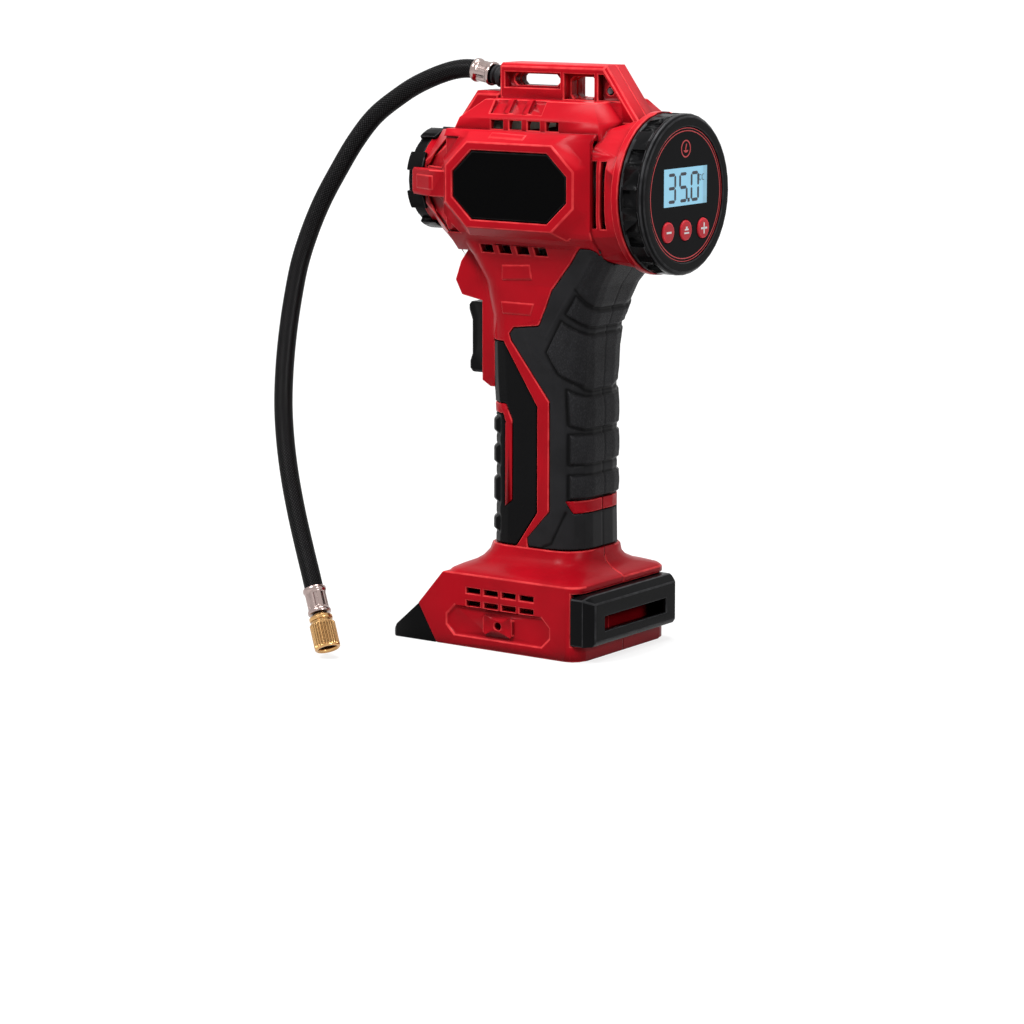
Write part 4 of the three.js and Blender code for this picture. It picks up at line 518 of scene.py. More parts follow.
def tube_faces(rows, sides):
    """The faces of a grid whose rows are circles, with a flat face at each end."""
    return [*grid_faces(rows, sides), range(sides)[::-1], range((rows - 1) * sides, rows * sides)]


def make_piece(name, points, faces, finish, body, smooth=35):
    """A mesh from points in mm and lists of corners, riding on a body.

    Edges that turn by more than smooth degrees stay sharp.
    """
    mesh = bpy.data.meshes.new(name)
    mesh.from_pydata((np.asarray(points, float) * MM).tolist(), [], [list(map(int, face)) for face in faces])
    return dress(bpy.data.objects.new(name, mesh), finish, body, smooth)


def dress(piece, finish, body, smooth=35):
    """Gives a new piece its finish and its shading, and lets it ride on its body."""
    if not piece.users_collection:
        bpy.context.scene.collection.objects.link(piece)
    mesh = piece.data
    mesh.materials.clear()
    mesh.materials.append(finish_named(finish))
    mesh.validate()
    mesh.shade_smooth()
    mesh.set_sharp_from_angle(angle=math.radians(smooth))
    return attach(piece, body)


def face_outwards(piece):
    """Turns every face of a closed mesh outwards, and gives its piece back."""
    work = bmesh.new()
    work.from_mesh(piece.data)
    bmesh.ops.recalc_face_normals(work, faces=work.faces)
    work.to_mesh(piece.data)
    work.free()
    return piece


def cad_copy(node, name):
    """A copy of a CAD node's mesh whose loose triangles are joined and whose slivers are gone."""
    mesh = frame["nodes"][node].data.copy()
    piece = bpy.data.objects.new(name, mesh)
    bpy.context.scene.collection.objects.link(piece)
    work = bmesh.new()
    work.from_mesh(mesh)
    bmesh.ops.remove_doubles(work, verts=work.verts, dist=JOIN_WITHIN * MM)
    bmesh.ops.dissolve_degenerate(work, dist=SLIVER * MM, edges=work.edges)
    work.to_mesh(mesh)
    work.free()
    return piece


def modified_mesh(piece):
    """The mesh that the piece's modifiers make. The piece loses them."""
    graph = bpy.context.evaluated_depsgraph_get()
    mesh = bpy.data.meshes.new_from_object(piece.evaluated_get(graph))
    piece.modifiers.clear()
    return mesh


def surface_of(mesh):
    """A tree of a mesh's faces, to look for places on it, in metres."""
    return BVHTree.FromPolygons([v.co for v in mesh.vertices], [p.vertices for p in mesh.polygons])


def outer_edges(mesh, angle):
    """1 for each edge that stands out and turns by more than an angle, in degrees, and 0 for the others."""
    work = bmesh.new()
    work.from_mesh(mesh)
    sharp = [float(edge.calc_face_angle_signed(0) > math.radians(angle)) for edge in work.edges]
    work.free()
    return np.array(sharp, np.float32)


def rounded_mesh(piece, weights, edge, steps):
    """A copy of the piece's mesh with its weighted edges rounded by edge mm.

    The faces that round an edge take the piece's second material, by which they get their rim of 1.
    """
    attribute = piece.data.attributes.get("bevel_weight_edge")
    attribute = attribute or piece.data.attributes.new("bevel_weight_edge", "FLOAT", "EDGE")
    attribute.data.foreach_set("value", weights)
    bevel = piece.modifiers.new("edges", "BEVEL")
    bevel.width = edge * MM
    bevel.segments = steps
    bevel.limit_method = "WEIGHT"
    bevel.use_clamp_overlap = False
    bevel.miter_outer = "MITER_ARC"
    bevel.material = 1
    mesh = modified_mesh(piece)
    rims = np.empty(len(mesh.polygons), np.int32)
    mesh.polygons.foreach_get("material_index", rims)
    mesh.attributes.new("rim", "FLOAT", "FACE").data.foreach_set("value", (rims == 1).astype(np.float32))
    mesh.polygons.foreach_set("material_index", np.zeros(len(rims), np.int32))
    return mesh


def softened(node, finish, edge, steps=2, smooth=SHARP_ANGLE):
    """A CAD node with its sharp edges rounded, shown in place of the node.

    Where an edge is too crowded to round, points come out away from the solid's surface. Edges close to
    such points keep their corner in the next round. Large faces set the shading of their rims.
    """
    body = frame["nodes"][node]["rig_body"]
    piece = cad_copy(node, f"{node}_finished")
    piece.data.materials.append(None)
    weights = outer_edges(piece.data, SHARP_ANGLE)
    solid = surface_of(piece.data)
    ends = points_of(piece.data)[np.array([line.vertices[:] for line in piece.data.edges])]
    for _ in range(ROUNDING_TRIES):
        mesh = rounded_mesh(piece, weights, edge, steps)
        off = np.array([solid.find_nearest(v.co)[3] for v in mesh.vertices]) / MM
        stray = points_of(mesh)[off > STRAY_SHARE * edge]
        if not len(stray):
            break
        for point in stray:
            weights[segment_distance(point, ends) < CROWD_SHARE * edge] = 0
    piece.data = mesh
    mesh.shade_smooth()
    mesh.set_sharp_from_angle(angle=math.radians(smooth))
    piece.modifiers.new("level", "WEIGHTED_NORMAL").keep_sharp = True
    piece.data = modified_mesh(piece)
    dress(piece, finish, body, smooth)
    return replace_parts(piece, node)


def remeshed(node, name, voxel):
    """An even mesh of a CAD node, fine enough to shape: the points of a voxel grid of that size in mm."""
    piece = cad_copy(node, name)
    modifier = piece.modifiers.new("even", "REMESH")
    modifier.mode = "VOXEL"
    modifier.voxel_size = voxel * MM
    piece.data = modified_mesh(piece)
    return piece


def points_of(mesh):
    """A mesh's points in mm, one row each."""
    flat = np.empty(len(mesh.vertices) * 3, np.float32)
    mesh.vertices.foreach_get("co", flat)
    return flat.reshape(-1, 3).astype(float) / MM


def normals_of(mesh):
    """A mesh's outward direction at each point."""
    flat = np.empty(len(mesh.vertices) * 3, np.float32)
    mesh.vertex_normals.foreach_get("vector", flat)
    return flat.reshape(-1, 3).astype(float)


def move_points(mesh, points):
    """Puts a mesh's points, in mm, in new places."""
    mesh.vertices.foreach_set("co", (points * MM).astype(np.float32).ravel())
    mesh.update()


def segment_distance(point, segments):
    """Distance from a point to each of many segments, given as rows of two ends.

    The nearest place is the share t of the way along, where t is the point's shadow on the segment, held
    between 0 and 1.
    """
    start, way = segments[:, 0], segments[:, 1] - segments[:, 0]
    t = np.clip(((point - start) * way).sum(1) / np.maximum((way * way).sum(1), 1e-12), 0, 1)
    return np.linalg.norm(start + way * t[:, None] - point, axis=1)


def store(mesh, name, values):
    """Keeps one number for each point of a mesh, for its finish to read."""
    attribute = mesh.attributes.new(name, "FLOAT", "POINT")
    attribute.data.foreach_set("value", np.asarray(values, np.float32))


def smoothstep(low, high, x):
    """0 below low, 1 above high and 3t^2 - 2t^3 between them."""
    t = np.clip((x - low) / (high - low), 0, 1)
    return t * t * (3 - 2 * t)


def line_distance(u, v, corners):
    """Distance in a plane to a line with corners: the least of the distances to its straight stretches."""
    nearest = np.full(u.shape, np.inf)
    for (u0, v0), (u1, v1) in zip(corners, corners[1:]):
        du, dv = u1 - u0, v1 - v0
        t = np.clip(((u - u0) * du + (v - v0) * dv) / (du * du + dv * dv), 0, 1)
        nearest = np.minimum(nearest, np.hypot(u - u0 - t * du, v - v0 - t * dv))
    return nearest


def inside_outline(u, v, outline):
    """Signed distance to a closed outline in a plane, positive inside it.

    A point is inside if a ray along +u crosses an odd number of sides.
    """
    closed = [*outline, outline[0]]
    odd = np.zeros(u.shape, bool)
    for (u0, v0), (u1, v1) in zip(closed, closed[1:]):
        if v1 != v0:
            odd ^= ((v0 > v) != (v1 > v)) & (u < u0 + (v - v0) * (u1 - u0) / (v1 - v0))
    return np.where(odd, 1, -1) * line_distance(u, v, closed)


def unit(vector):
    """A direction of length 1, or an array of them."""
    vector = np.asarray(vector, float)
    return vector / np.linalg.norm(vector, axis=-1, keepdims=True)


def frame_along(way):
    """Two directions at right angles to way and to each other, by cross products with way."""
    way = unit(way)
    side = unit(np.cross(way, (0, 0, 1) if abs(way[2]) < 0.9 else (1, 0, 0)))
    return side, np.cross(way, side)


def turned(name, profile, start, way, finish, body, sides=64, radius_at=None, smooth=35, ring=False):
    """A lathe-turned piece: each [radius, distance] of the profile is a circle round the axis.

    The point at angle a is start + way * distance + radius * (side cos a + up sin a), and radius_at may
    change the radii with the angle. A ring's profile goes all the way round, and leaves its middle open.
    """
    profile = np.asarray(profile, float)
    angle = np.linspace(0, 2 * math.pi, sides, endpoint=False)
    radius = np.repeat(profile[:, :1], sides, 1)
    if radius_at:
        radius = radius_at(radius, profile[:, 1:], angle[None, :])
    side, up = frame_along(way)
    circle = np.cos(angle)[:, None] * side + np.sin(angle)[:, None] * up
    points = np.asarray(start) + profile[:, 1, None, None] * unit(way) + radius[..., None] * circle[None]
    rows = len(profile)
    faces = grid_faces(rows, sides, close_rows=True) if ring else tube_faces(rows, sides)
    return face_outwards(make_piece(name, points.reshape(-1, 3), faces, finish, body, smooth))


def plates(name, outlines, low, high, finish, body):
    """Thin plates across X from low to high, one for each closed outline of (y, z) points."""
    points, faces = [], []
    for outline in outlines:
        first, count = len(points), len(outline)
        points += [(x, y, z) for x in (low, high) for y, z in outline]
        faces += [range(first, first + count)[::-1], range(first + count, first + 2 * count)]
        faces += [(first + i, first + (i + 1) % count, first + count + (i + 1) % count, first + count + i)
                  for i in range(count)]
    return face_outwards(make_piece(name, points, faces, finish, body, 20))


# ---------------------------------------------------------------- the hose

# The outlet and the way it points, and the chuck's open end and the way that it points, in mm.
OUTLET = np.array([-27.2, 0, 249.4])
OUTLET_TILT = math.radians(9.5)
OUTLET_WAY = np.array([-math.cos(OUTLET_TILT), 0, math.sin(OUTLET_TILT)])
CHUCK_TIP = np.array([-60.8, -89.3, 4])
CHUCK_WAY = unit((0.467, -0.257, -0.846))
# How far out of the outlet and up from the chuck's end each ferrule begins, and the hose's bare ends.
TOP_FERRULE = 8.3
END_FERRULE = 16.7
HOSE_START = 18.6
HOSE_END = 29
# How far the hose runs on straight beyond each ferrule.
TOP_STRAIGHT = 1.5
END_STRAIGHT = 6
# Points worked out on each stretch of the route, from which the even ones are taken.
ROUTE_STEPS = 60
# The points round the hose and along it, and how far a strand turns round it for each radius along it.
HOSE_SIDES, HOSE_ROWS = 100, 940
STRAND_TURN = 0.9
# The longest stretch between the rings of points of a ferrule or the chuck.
RING_PITCH = 0.5
HOSE_ROUTE = [
    (-50.8, -0.4, 252.8), (-56.6, -1.3, 251.95), (-62.2, -2.5, 250.3), (-68.2, -3.9, 247.9),
    (-74.4, -5.5, 244.9), (-80.6, -7.3, 241), (-92.3, -12, 231.3), (-99.9, -16.6, 220.1),
    (-106.1, -22, 206.5), (-111.3, -27.2, 193), (-114.7, -32.2, 179.5), (-116.5, -37.4, 165.5),
    (-116.4, -43, 149.2), (-115.2, -48.3, 133.8), (-112.9, -53.6, 118.5), (-109.6, -58.6, 103.4),
    (-104.7, -63.4, 88.4), (-98.5, -68.1, 73.7), (-91.3, -72.6, 59.1), (-83.5, -76.9, 44.7),
]


def hose_points():
    """The hose's route from the top ferrule to the lower one, which it leaves straight, in mm."""
    top = [OUTLET + OUTLET_WAY * s for s in (HOSE_START, HOSE_START + TOP_STRAIGHT)]
    low = [CHUCK_TIP - CHUCK_WAY * s for s in (HOSE_END + END_STRAIGHT, HOSE_END)]
    return np.array([*top, *HOSE_ROUTE, *low], float)


def through(points, count):
    """Places an even distance apart on the smooth curve through some points.

    Between two points the curve is the centripetal Catmull-Rom cubic of them and their neighbours, whose
    knots lie apart by the square root of the points' distances.
    """
    ends = [2 * points[0] - points[1], *points, 2 * points[-1] - points[-2]]
    pieces = []
    for a, b, c, d in zip(ends, ends[1:], ends[2:], ends[3:]):
        k0, k1, k2 = (np.linalg.norm(q - p) ** 0.5 for p, q in ((a, b), (b, c), (c, d)))
        t1, t2, t3 = k0, k0 + k1, k0 + k1 + k2
        t = np.linspace(t1, t2, ROUTE_STEPS)[:, None]
        p, q, r = a + (b - a) * t / t1, b + (c - b) * (t - t1) / (t2 - t1), c + (d - c) * (t - t2) / (t3 - t2)
        u, v = p + (q - p) * t / t2, q + (r - q) * (t - t1) / (t3 - t1)
        pieces.append(u + (v - u) * (t - t1) / (t2 - t1))
    fine = np.concatenate(pieces)
    steps = np.linalg.norm(np.diff(fine, axis=0), axis=1)
    run = np.concatenate([[0], np.cumsum(steps)])
    even = np.linspace(0, run[-1], count)
    return np.stack([np.interp(even, run, fine[:, i]) for i in range(3)], 1), run[-1]


def braided_hose(sizes):
    """The hose with its woven cover.

    On a tube along the route, with angle a round it and distance s along it in radii, two families of
    strands follow the numbers n (a + 0.9 s) and n (a - 0.9 s). Each is a ridge, the squared cosine of half
    its number, and the product of the two half numbers' sines says which of them lies on top.
    """
    radius = sizes.diameter / 2
    path, length = through(hose_points(), HOSE_ROWS)
    along = unit(np.gradient(path, axis=0))
    across = unit(np.cross(along, (0.35, -0.9, 0)))
    upward = np.cross(along, across)
    angle = np.linspace(0, 2 * math.pi, HOSE_SIDES, endpoint=False)[None, :]
    turn = np.linspace(0, length, HOSE_ROWS)[:, None] / radius
    first = sizes.strands * (angle + turn * STRAND_TURN)
    second = sizes.strands * (angle - turn * STRAND_TURN)
    over = 0.5 + 0.5 * np.sin(first / 2) * np.sin(second / 2)
    ridges = over * np.cos(first / 2) ** 2 + (1 - over) * np.cos(second / 2) ** 2
    ring = np.cos(angle)[..., None] * across[:, None] + np.sin(angle)[..., None] * upward[:, None]
    lift = (radius - sizes.strand_rise + sizes.strand_rise * ridges)[..., None]
    points = path[:, None] + ring * lift
    faces = tube_faces(HOSE_ROWS, HOSE_SIDES)
    hose = make_piece("hose_braided", points.reshape(-1, 3), faces, "hose_braid", "housing", 60)
    store(hose.data, "strand", ridges.ravel())
    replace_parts(hose, "hose")
    return hose, path, length


def fluted(count, depth, low, high, width=0.0):
    """Radii with grooves along the axis between two distances: depth mm deep where cos(count a) is low.

    The grooves grow with width, which moves the cosine at which they begin, and run out at both ends.
    """
    def radius_at(radius, distance, angle):
        ridge = smoothstep(width - 0.75, width + 0.35, np.cos(count * angle))
        inside = smoothstep(low, low + 0.4, distance) * (1 - smoothstep(high - 0.4, high, distance))
        return radius - depth * (1 - ridge) * inside
    return radius_at


def ferrule_profile(length, bore, outer, waist):
    """A crimped sleeve's outline: rolled lips at both ends and a body pressed in between them."""
    return [[bore, 0], [outer - 0.5, 0], [outer - 0.12, 0.12], [outer, 0.5], [outer, 1.3],
            [outer - 0.15, 1.65], [waist, 2.0], [waist, length - 2.4], [outer - 0.2, length - 1.9],
            [outer, length - 1.5], [outer, length - 0.5], [outer - 0.15, length - 0.12],
            [outer - 0.55, length], [bore, length]]


def ring_rows(profile):
    """The same outline with more points on its long stretches, no further apart than RING_PITCH mm."""
    rows = [profile[0]]
    for a, b in zip(profile, profile[1:]):
        steps = max(1, math.ceil(math.dist(a, b) / RING_PITCH))
        rows += [[a[i] + (b[i] - a[i]) * k / steps for i in (0, 1)] for k in range(1, steps + 1)]
    return rows


def hose_fittings():
    """The crimped ferrules at both ends of the hose, and the knurled brass chuck with its seal."""
    top = turned("ferrule_top", ring_rows(ferrule_profile(10, 1.6, 5.3, 4.75)),
                 OUTLET + OUTLET_WAY * TOP_FERRULE, OUTLET_WAY, "nickel", "housing", 96,
                 fluted(6, 0.6, 2.2, 7.6), 28)
    end = turned("ferrule_end", ring_rows(ferrule_profile(12, 1.6, 5.2, 4.8)),
                 CHUCK_TIP - CHUCK_WAY * END_FERRULE, -CHUCK_WAY, "nickel", "housing", 96,
                 fluted(8, 0.55, 2.2, 9.6), 28)
    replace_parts(top, "hose_ferrule_top")
    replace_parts(end, "hose_ferrule_end")
    knurl = fluted(26, 0.5, 0.9, 11.6, 0.15)
    profile = [[0.6, 8.8], [3.6, 8.8], [3.9, 8.5], [3.9, 1.0], [4.3, 0.3], [4.7, 0.05], [5.2, 0.05],
               [5.6, 0.45], [5.7, 0.9], [5.7, 11.6], [5.35, 12.1], [4.6, 12.3], [4.6, 13.2], [5.0, 13.4],
               [5.2, 13.8], [5.2, 14.9], [4.9, 15.3], [3.3, 15.8], [3.3, 16.3], [0.6, 16.3]]
    chuck = turned("chuck_knurled", ring_rows(profile), CHUCK_TIP, -CHUCK_WAY, "brass", "housing", 208,
                   lambda r, s, a: np.where(r > 5.3, knurl(r, s, a), r), 30)
    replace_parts(chuck, "valve_chuck")
    seal = turned("chuck_seal_ring", [[1.5, 6.4], [1.5, 8.4], [3.4, 8.4], [3.6, 8.1], [3.6, 6.7], [3.4, 6.4]],
                  CHUCK_TIP, -CHUCK_WAY, "seal_rubber", "housing", 48, ring=True)
    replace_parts(seal, "chuck_seal")
    return [top, end, chuck, seal]


def outlet_boot():
    """The soft black boot between the outlet and the top ferrule: a collar, a narrow neck and a ring."""
    profile = [[2.2, 1.75], [4.4, 1.75], [4.9, 2.0], [5.0, 2.4], [5.0, 4.0], [4.8, 4.35], [3.9, 4.6],
               [3.7, 4.9], [3.7, 5.7], [3.9, 6.0], [4.2, 6.15], [4.45, 6.5], [4.45, 7.3], [4.2, 7.7],
               [3.6, 7.95], [2.2, 7.95]]
    boot = turned("outlet_boot", profile, OUTLET, OUTLET_WAY, "seal_rubber", "housing", 64)
    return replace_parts(boot, "hose_boot")


class INFLATOR_OT_hose(bpy.types.Operator):
    """Makes the braided hose with its ferrules and its valve chuck"""

    bl_idname = "inflator.hose"
    bl_label = "Hose"

    def execute(self, context):
        sizes = context.scene.inflator_hose
        hose, path, length = braided_hose(sizes)
        fittings = hose_fittings()
        outlet_boot()
        path[0] * MM
        length * MM
        path[::9] * MM
        return {"FINISHED"}


# ---------------------------------------------------------------- the shell and its hard trim

# Low plates on the housing's sides: the corners of each as (x, z), and how far it stands out.
SHELL_PLATES = {
    "neck_plate": ([(-16.6, 153.5), (1.3, 153.5), (-0.9, 148), (-16, 148)], 0.5),
    "nose_plate": ([(-57.8, 207.8), (-45, 207.8), (-45, 201.4), (-57.8, 201.4)], 0.35),
    "belly_plate": ([(-14.5, 169.8), (0.7, 170.7), (0.9, 164), (-15.5, 162.9)], 0.5),
    "frame_mark": ([(-14, 227.8), (4.7, 227.2), (4.7, 225), (-14, 225.4)], 0.45),
}
# The room round a plate's outline, the distance between its points, and how far they sink at its foot.
PLATE_MARGIN = 0.9
PLATE_PITCH = 0.3
PLATE_SINK = 0.3
# How far from the middle the rays start that find the housing's side, in mm.
RAY_START = 80

# The finish, the slot, the rounding in mm and its steps of each group of hard trim.
TRIM = [
    (["side_panel_left", "side_panel_right"], "panel_black", "black_plastic", 0.3, 2),
    (["front_cap", "foot_rear_cover"], "satin_black", "black_plastic", 0.5, 2),
    (["foot_toe_left", "foot_toe_right"], "trim_black", "black_plastic", 0.5, 2),
    (["trigger"], "trim_black", "black_plastic", 1.2, 4),
    (["screw_fin", "screw_front_top", "screw_rear", "screw_neck", "screw_grip", "screw_foot"],
     "dark_steel", "dark_steel", 0.15, 1),
]


def shell_plate(name, outline, rise, side):
    """A low plate with sloped edges on one side of the housing.

    Its top is a grid of points found by rays along Y on the housing, lifted by rise inside the outline and
    sunk under the surface outside it. A second grid 1 mm below the surface closes it.
    """
    half = "left" if side == LEFT else "right"
    solid = surface_of(frame["nodes"][f"housing_{half}"].data)
    corners = np.array(outline)
    low, high = corners.min(0) - PLATE_MARGIN, corners.max(0) + PLATE_MARGIN
    x, z = np.meshgrid(np.arange(low[0], high[0], PLATE_PITCH), np.arange(low[1], high[1], PLATE_PITCH))
    hits = [solid.ray_cast((a * MM, side * RAY_START * MM, b * MM), (0, -side, 0))
            for a, b in zip(x.ravel(), z.ravel())]
    ground = np.array([hit[0] for hit in hits]) / MM
    normals = np.array([hit[1] for hit in hits])
    depth = inside_outline(x.ravel(), z.ravel(), outline)
    lift = rise * smoothstep(0, 0.5, depth) - PLATE_SINK * (1 - smoothstep(-0.6, 0, depth))
    rows, columns = x.shape
    top = grid_faces(rows, columns, close_columns=False)
    count = rows * columns
    rim = [*range(columns), *range(2 * columns - 1, count, columns),
           *range(count - 2, count - columns - 1, -1), *range(count - 2 * columns, 0, -columns)]
    walls = [(a, b, b + count, a + count) for a, b in zip(rim, rim[1:] + rim[:1])]
    points = np.concatenate([ground + normals * lift[:, None], ground - normals])
    faces = [*top, *(top + count)[:, ::-1], *walls]
    piece = face_outwards(make_piece(f"{name}_{half}", points, faces, "shell_red", "housing", 50))
    # Painted highlight along the plate's edge, kept as its rim.
    edge_highlight = bell(depth - 0.25, 0.3)
    store(piece.data, "rim", np.concatenate([edge_highlight, 0 * edge_highlight]))
    return piece


class INFLATOR_OT_shell(bpy.types.Operator):
    """Rounds the edges of the two halves of the housing and lays the low plates on them"""

    bl_idname = "inflator.shell"
    bl_label = "Housing"

    def execute(self, context):
        sizes = context.scene.inflator_shell
        for node in ("housing_left", "housing_right"):
            softened(node, "shell_red", sizes.edge, sizes.steps, smooth=25)
        for name, (outline, rise) in SHELL_PLATES.items():
            for side in (LEFT, RIGHT):
                shell_plate(name, outline, rise, side)
        return {"FINISHED"}


class INFLATOR_OT_trim(bpy.types.Operator):
    """Makes the black panels, the nose cap, the toes, the rear cover, the trigger and the screws"""

    bl_idname = "inflator.trim"
    bl_label = "Hard trim"

    def execute(self, context):
        for nodes, finish, slot, edge, steps in TRIM:
            for node in nodes:
                softened(node, finish, edge, steps)
        return {"FINISHED"}


# ---------------------------------------------------------------- the grip's covers

# An x beyond the grip's back, to which the pads' outlines go, so that the pads run on round it.
BACK = 60
# Outlines seen from the side, as (x, z).
GRIP_PADS = [
    [(23, 158), (27.8, 151.1), (BACK, 151.1), (BACK, 143.6), (25.2, 143.6), (17.5, 149.9)],
    [(15, 146.5), (24.5, 140.2), (BACK, 140.2), (BACK, 115.6), (23, 115.6), (20.9, 118.4), (13.3, 123.3),
     (7.3, 132.6)],
    [(16.8, 116.4), (22.3, 113.2), (BACK, 113.2), (BACK, 98.6), (22, 98.9), (17.8, 100.9)],
    [(17.8, 96.6), (BACK, 96), (BACK, 83.1), (17.8, 83.5)],
    [(17.8, 78.6), (BACK, 78.2), (BACK, 68.6), (17.8, 68.2)],
]
NECK_GRAIN = [(23.6, 163), (28.6, 153.4), (BACK, 153.4), (BACK, 190), (36, 180)]
NECK_LINE = [(22.9, 161.2), (28.2, 152.1), (BACK, 152.1)]
SOFT_RIDGES = [
    [(-3, 137.1), (-0.1, 131.7), (9.8, 124.7), (15.7, 113.3), (16.6, 63.5)],
    [(5.4, 140.2), (7.3, 138.7), (13.8, 148.9), (23, 161.6), (34, 176)],
]
FOOT_SPLIT = [(16.6, 62), (10.2, 48), (5.7, 46)]
# The finger pads' lowest and highest z, and where they end on the grip's side and beyond its front, as x.
FINGER_PADS = [(94.4, 101.6), (80.6, 89.2), (63.6, 75), (50.5, 57.5)]
FINGER_SIDE, FRONT = -18.8, -60
GRIP_MIDDLE = np.array([-1.5, 0])
# How far the pads are crowned, the ridges rise and each kind of line is cut, in mm.
PAD_CROWN = 0.35
RIDGE_RISE = 0.35
GROOVE_DEPTH = 0.4
SEAM_DEPTH = 0.2
SPLIT_DEPTH = 0.45
NECK_LINE_DEPTH = 0.4
FINGER_GROOVE_DEPTH = 0.3


def bell(distance, width):
    """1 at a distance of 0, and less to both sides: e to the power of -(distance / width)^2."""
    return np.exp(-(distance / width) ** 2)


def outward_share(points, normals):
    """1 on a cover's outer face and 0 on its inner face, edges and ends.

    Seen from above, it rises with the cosine between a point's normal and its direction from the middle.
    """
    away = unit(points[:, :2] - GRIP_MIDDLE)
    return smoothstep(0.25, 0.6, (normals[:, :2] * away).sum(1))


def back_cover(sizes):
    """The soft cover of the grip's sides and back.

    Each point moves along its normal: up on the crowned pads, up a little on the two ridges that frame
    them, and down in the groove round each pad, the seam along the back, the split over the foot and the
    line under the neck, whose sections are bells.
    """
    piece = remeshed("grip_rubber", "grip_back_cover", sizes.voxel)
    points, normals = points_of(piece.data), normals_of(piece.data)
    x, y, z = points.T
    outer = outward_share(points, normals)
    depth = np.max([inside_outline(x, z, pad) for pad in GRIP_PADS], axis=0)
    pad = smoothstep(0, 1.0, depth)
    groove = bell(depth + 0.35, 0.55)
    ridge = np.max([bell(line_distance(x, z, line), 0.8) for line in SOFT_RIDGES], axis=0)
    seam = bell(y, 0.5) * smoothstep(0.6, 0.9, normals[:, 0])
    split = bell(line_distance(x, z, FOOT_SPLIT), 0.6)
    neck_line = bell(line_distance(x, z, NECK_LINE), 0.5)
    rise = pad * sizes.pad_rise + PAD_CROWN * smoothstep(0.6, 6, depth) + RIDGE_RISE * ridge
    rise -= GROOVE_DEPTH * groove + SEAM_DEPTH * seam + SPLIT_DEPTH * split + NECK_LINE_DEPTH * neck_line
    move_points(piece.data, points + normals * (rise * outer)[:, None])
    grain = np.maximum(pad, smoothstep(0, 1, inside_outline(x, z, NECK_GRAIN)))
    store(piece.data, "pad", grain * outer)
    # The grooves, seam, split and neck line, where the finish paints shade.
    store(piece.data, "groove", np.max([groove, seam * 0.5, split, neck_line], axis=0) * outer)
    dress(piece, "grip_rubber", "housing", 60)
    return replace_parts(piece, "grip_rubber")


def front_cover(sizes):
    """The harder cover of the grip's front, with a pad for each finger that stands out along the normal."""
    piece = remeshed("grip_front_cover", "grip_finger_cover", sizes.voxel)
    points, normals = points_of(piece.data), normals_of(piece.data)
    x, _, z = points.T
    outer = outward_share(points, normals)
    pads = [[(FRONT, low), (FINGER_SIDE, low), (FINGER_SIDE, high), (FRONT, high)]
            for low, high in FINGER_PADS]
    depth = np.max([inside_outline(x, z, pad) for pad in pads], axis=0)
    rise = sizes.finger_rise * smoothstep(0, 1.5, depth) - FINGER_GROOVE_DEPTH * bell(depth + 0.4, 0.6)
    move_points(piece.data, points + normals * (rise * outer)[:, None])
    dress(piece, "trim_black", "housing", 60)
    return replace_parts(piece, "grip_front_cover")


class INFLATOR_OT_grip(bpy.types.Operator):
    """Makes the grip's soft covers with their pads and grooves"""

    bl_idname = "inflator.grip"
    bl_label = "Grip"

    def execute(self, context):
        sizes = context.scene.inflator_grip
        back_cover(sizes)
        front_cover(sizes)
        return {"FINISHED"}


# ---------------------------------------------------------------- the gauge

DISPLAY_Z = 206.2
DISPLAY_HALF = (16.85, 8.05)
# How far a print stands out of its ground, and how far it goes into it.
PRINT = 0.06
PRINT_SINK = 0.1
# The lens's second ring, and the small ring round a dial: its height over the middle and its two radii.
OUTER_RING_RADIUS = 28.4
SIGN_RISE = 19.6
SIGN_RADII = (3.2, 3.75)
# A digit's stroke, its width and the distance to the next one, the first two as shares of its height and
# the last of its width.
DIGIT_STROKE = 0.12
DIGIT_WIDTH = 0.46
DIGIT_PITCH = 1.72
# How far the digits start from the display's left edge, and the small sign beside them from its right edge.
DIGITS_LEFT = 3.4
UNIT_RIGHT = 6.1
# The small sign's height and width, and how far up it stands as a share of a digit's height.
UNIT_SIZE = (2.4, 1.4)
UNIT_RISE = 0.7
# The bowl of the dial in the small ring.
DIAL_RADIUS = 2.1
# Each segment from (y, z) to (y, z), in digit widths and in halves of its height.
SEGMENT_ENDS = {"a": (0, 2, 1, 2), "b": (1, 2, 1, 1), "c": (1, 1, 1, 0), "d": (0, 0, 1, 0), "e": (0, 1, 0, 0),
                "f": (0, 2, 0, 1), "g": (0, 1, 1, 1)}
SEGMENTS = {"0": "abcdef", "1": "bc", "2": "abdeg", "3": "abcdg", "4": "bcfg", "5": "acdfg", "6": "acdefg",
            "7": "abc", "8": "abcdefg", "9": "abcdfg", "C": "adef"}


def box_outline(y, z, half_y, half_z):
    """A rectangle round a point."""
    return [(y + a * half_y, z + b * half_z) for a, b in ((-1, -1), (1, -1), (1, 1), (-1, 1))]


def bar_outline(start, end, width, gap):
    """A straight segment with pointed ends, gap mm short of its corners."""
    start, end = np.array(start, float), np.array(end, float)
    along = unit(end - start)
    across = np.array([-along[1], along[0]]) * width / 2
    a, b = start + along * gap, end - along * gap
    inner_a, inner_b = a + along * width / 2, b - along * width / 2
    return [a, inner_a - across, inner_b - across, b, inner_b + across, inner_a + across]


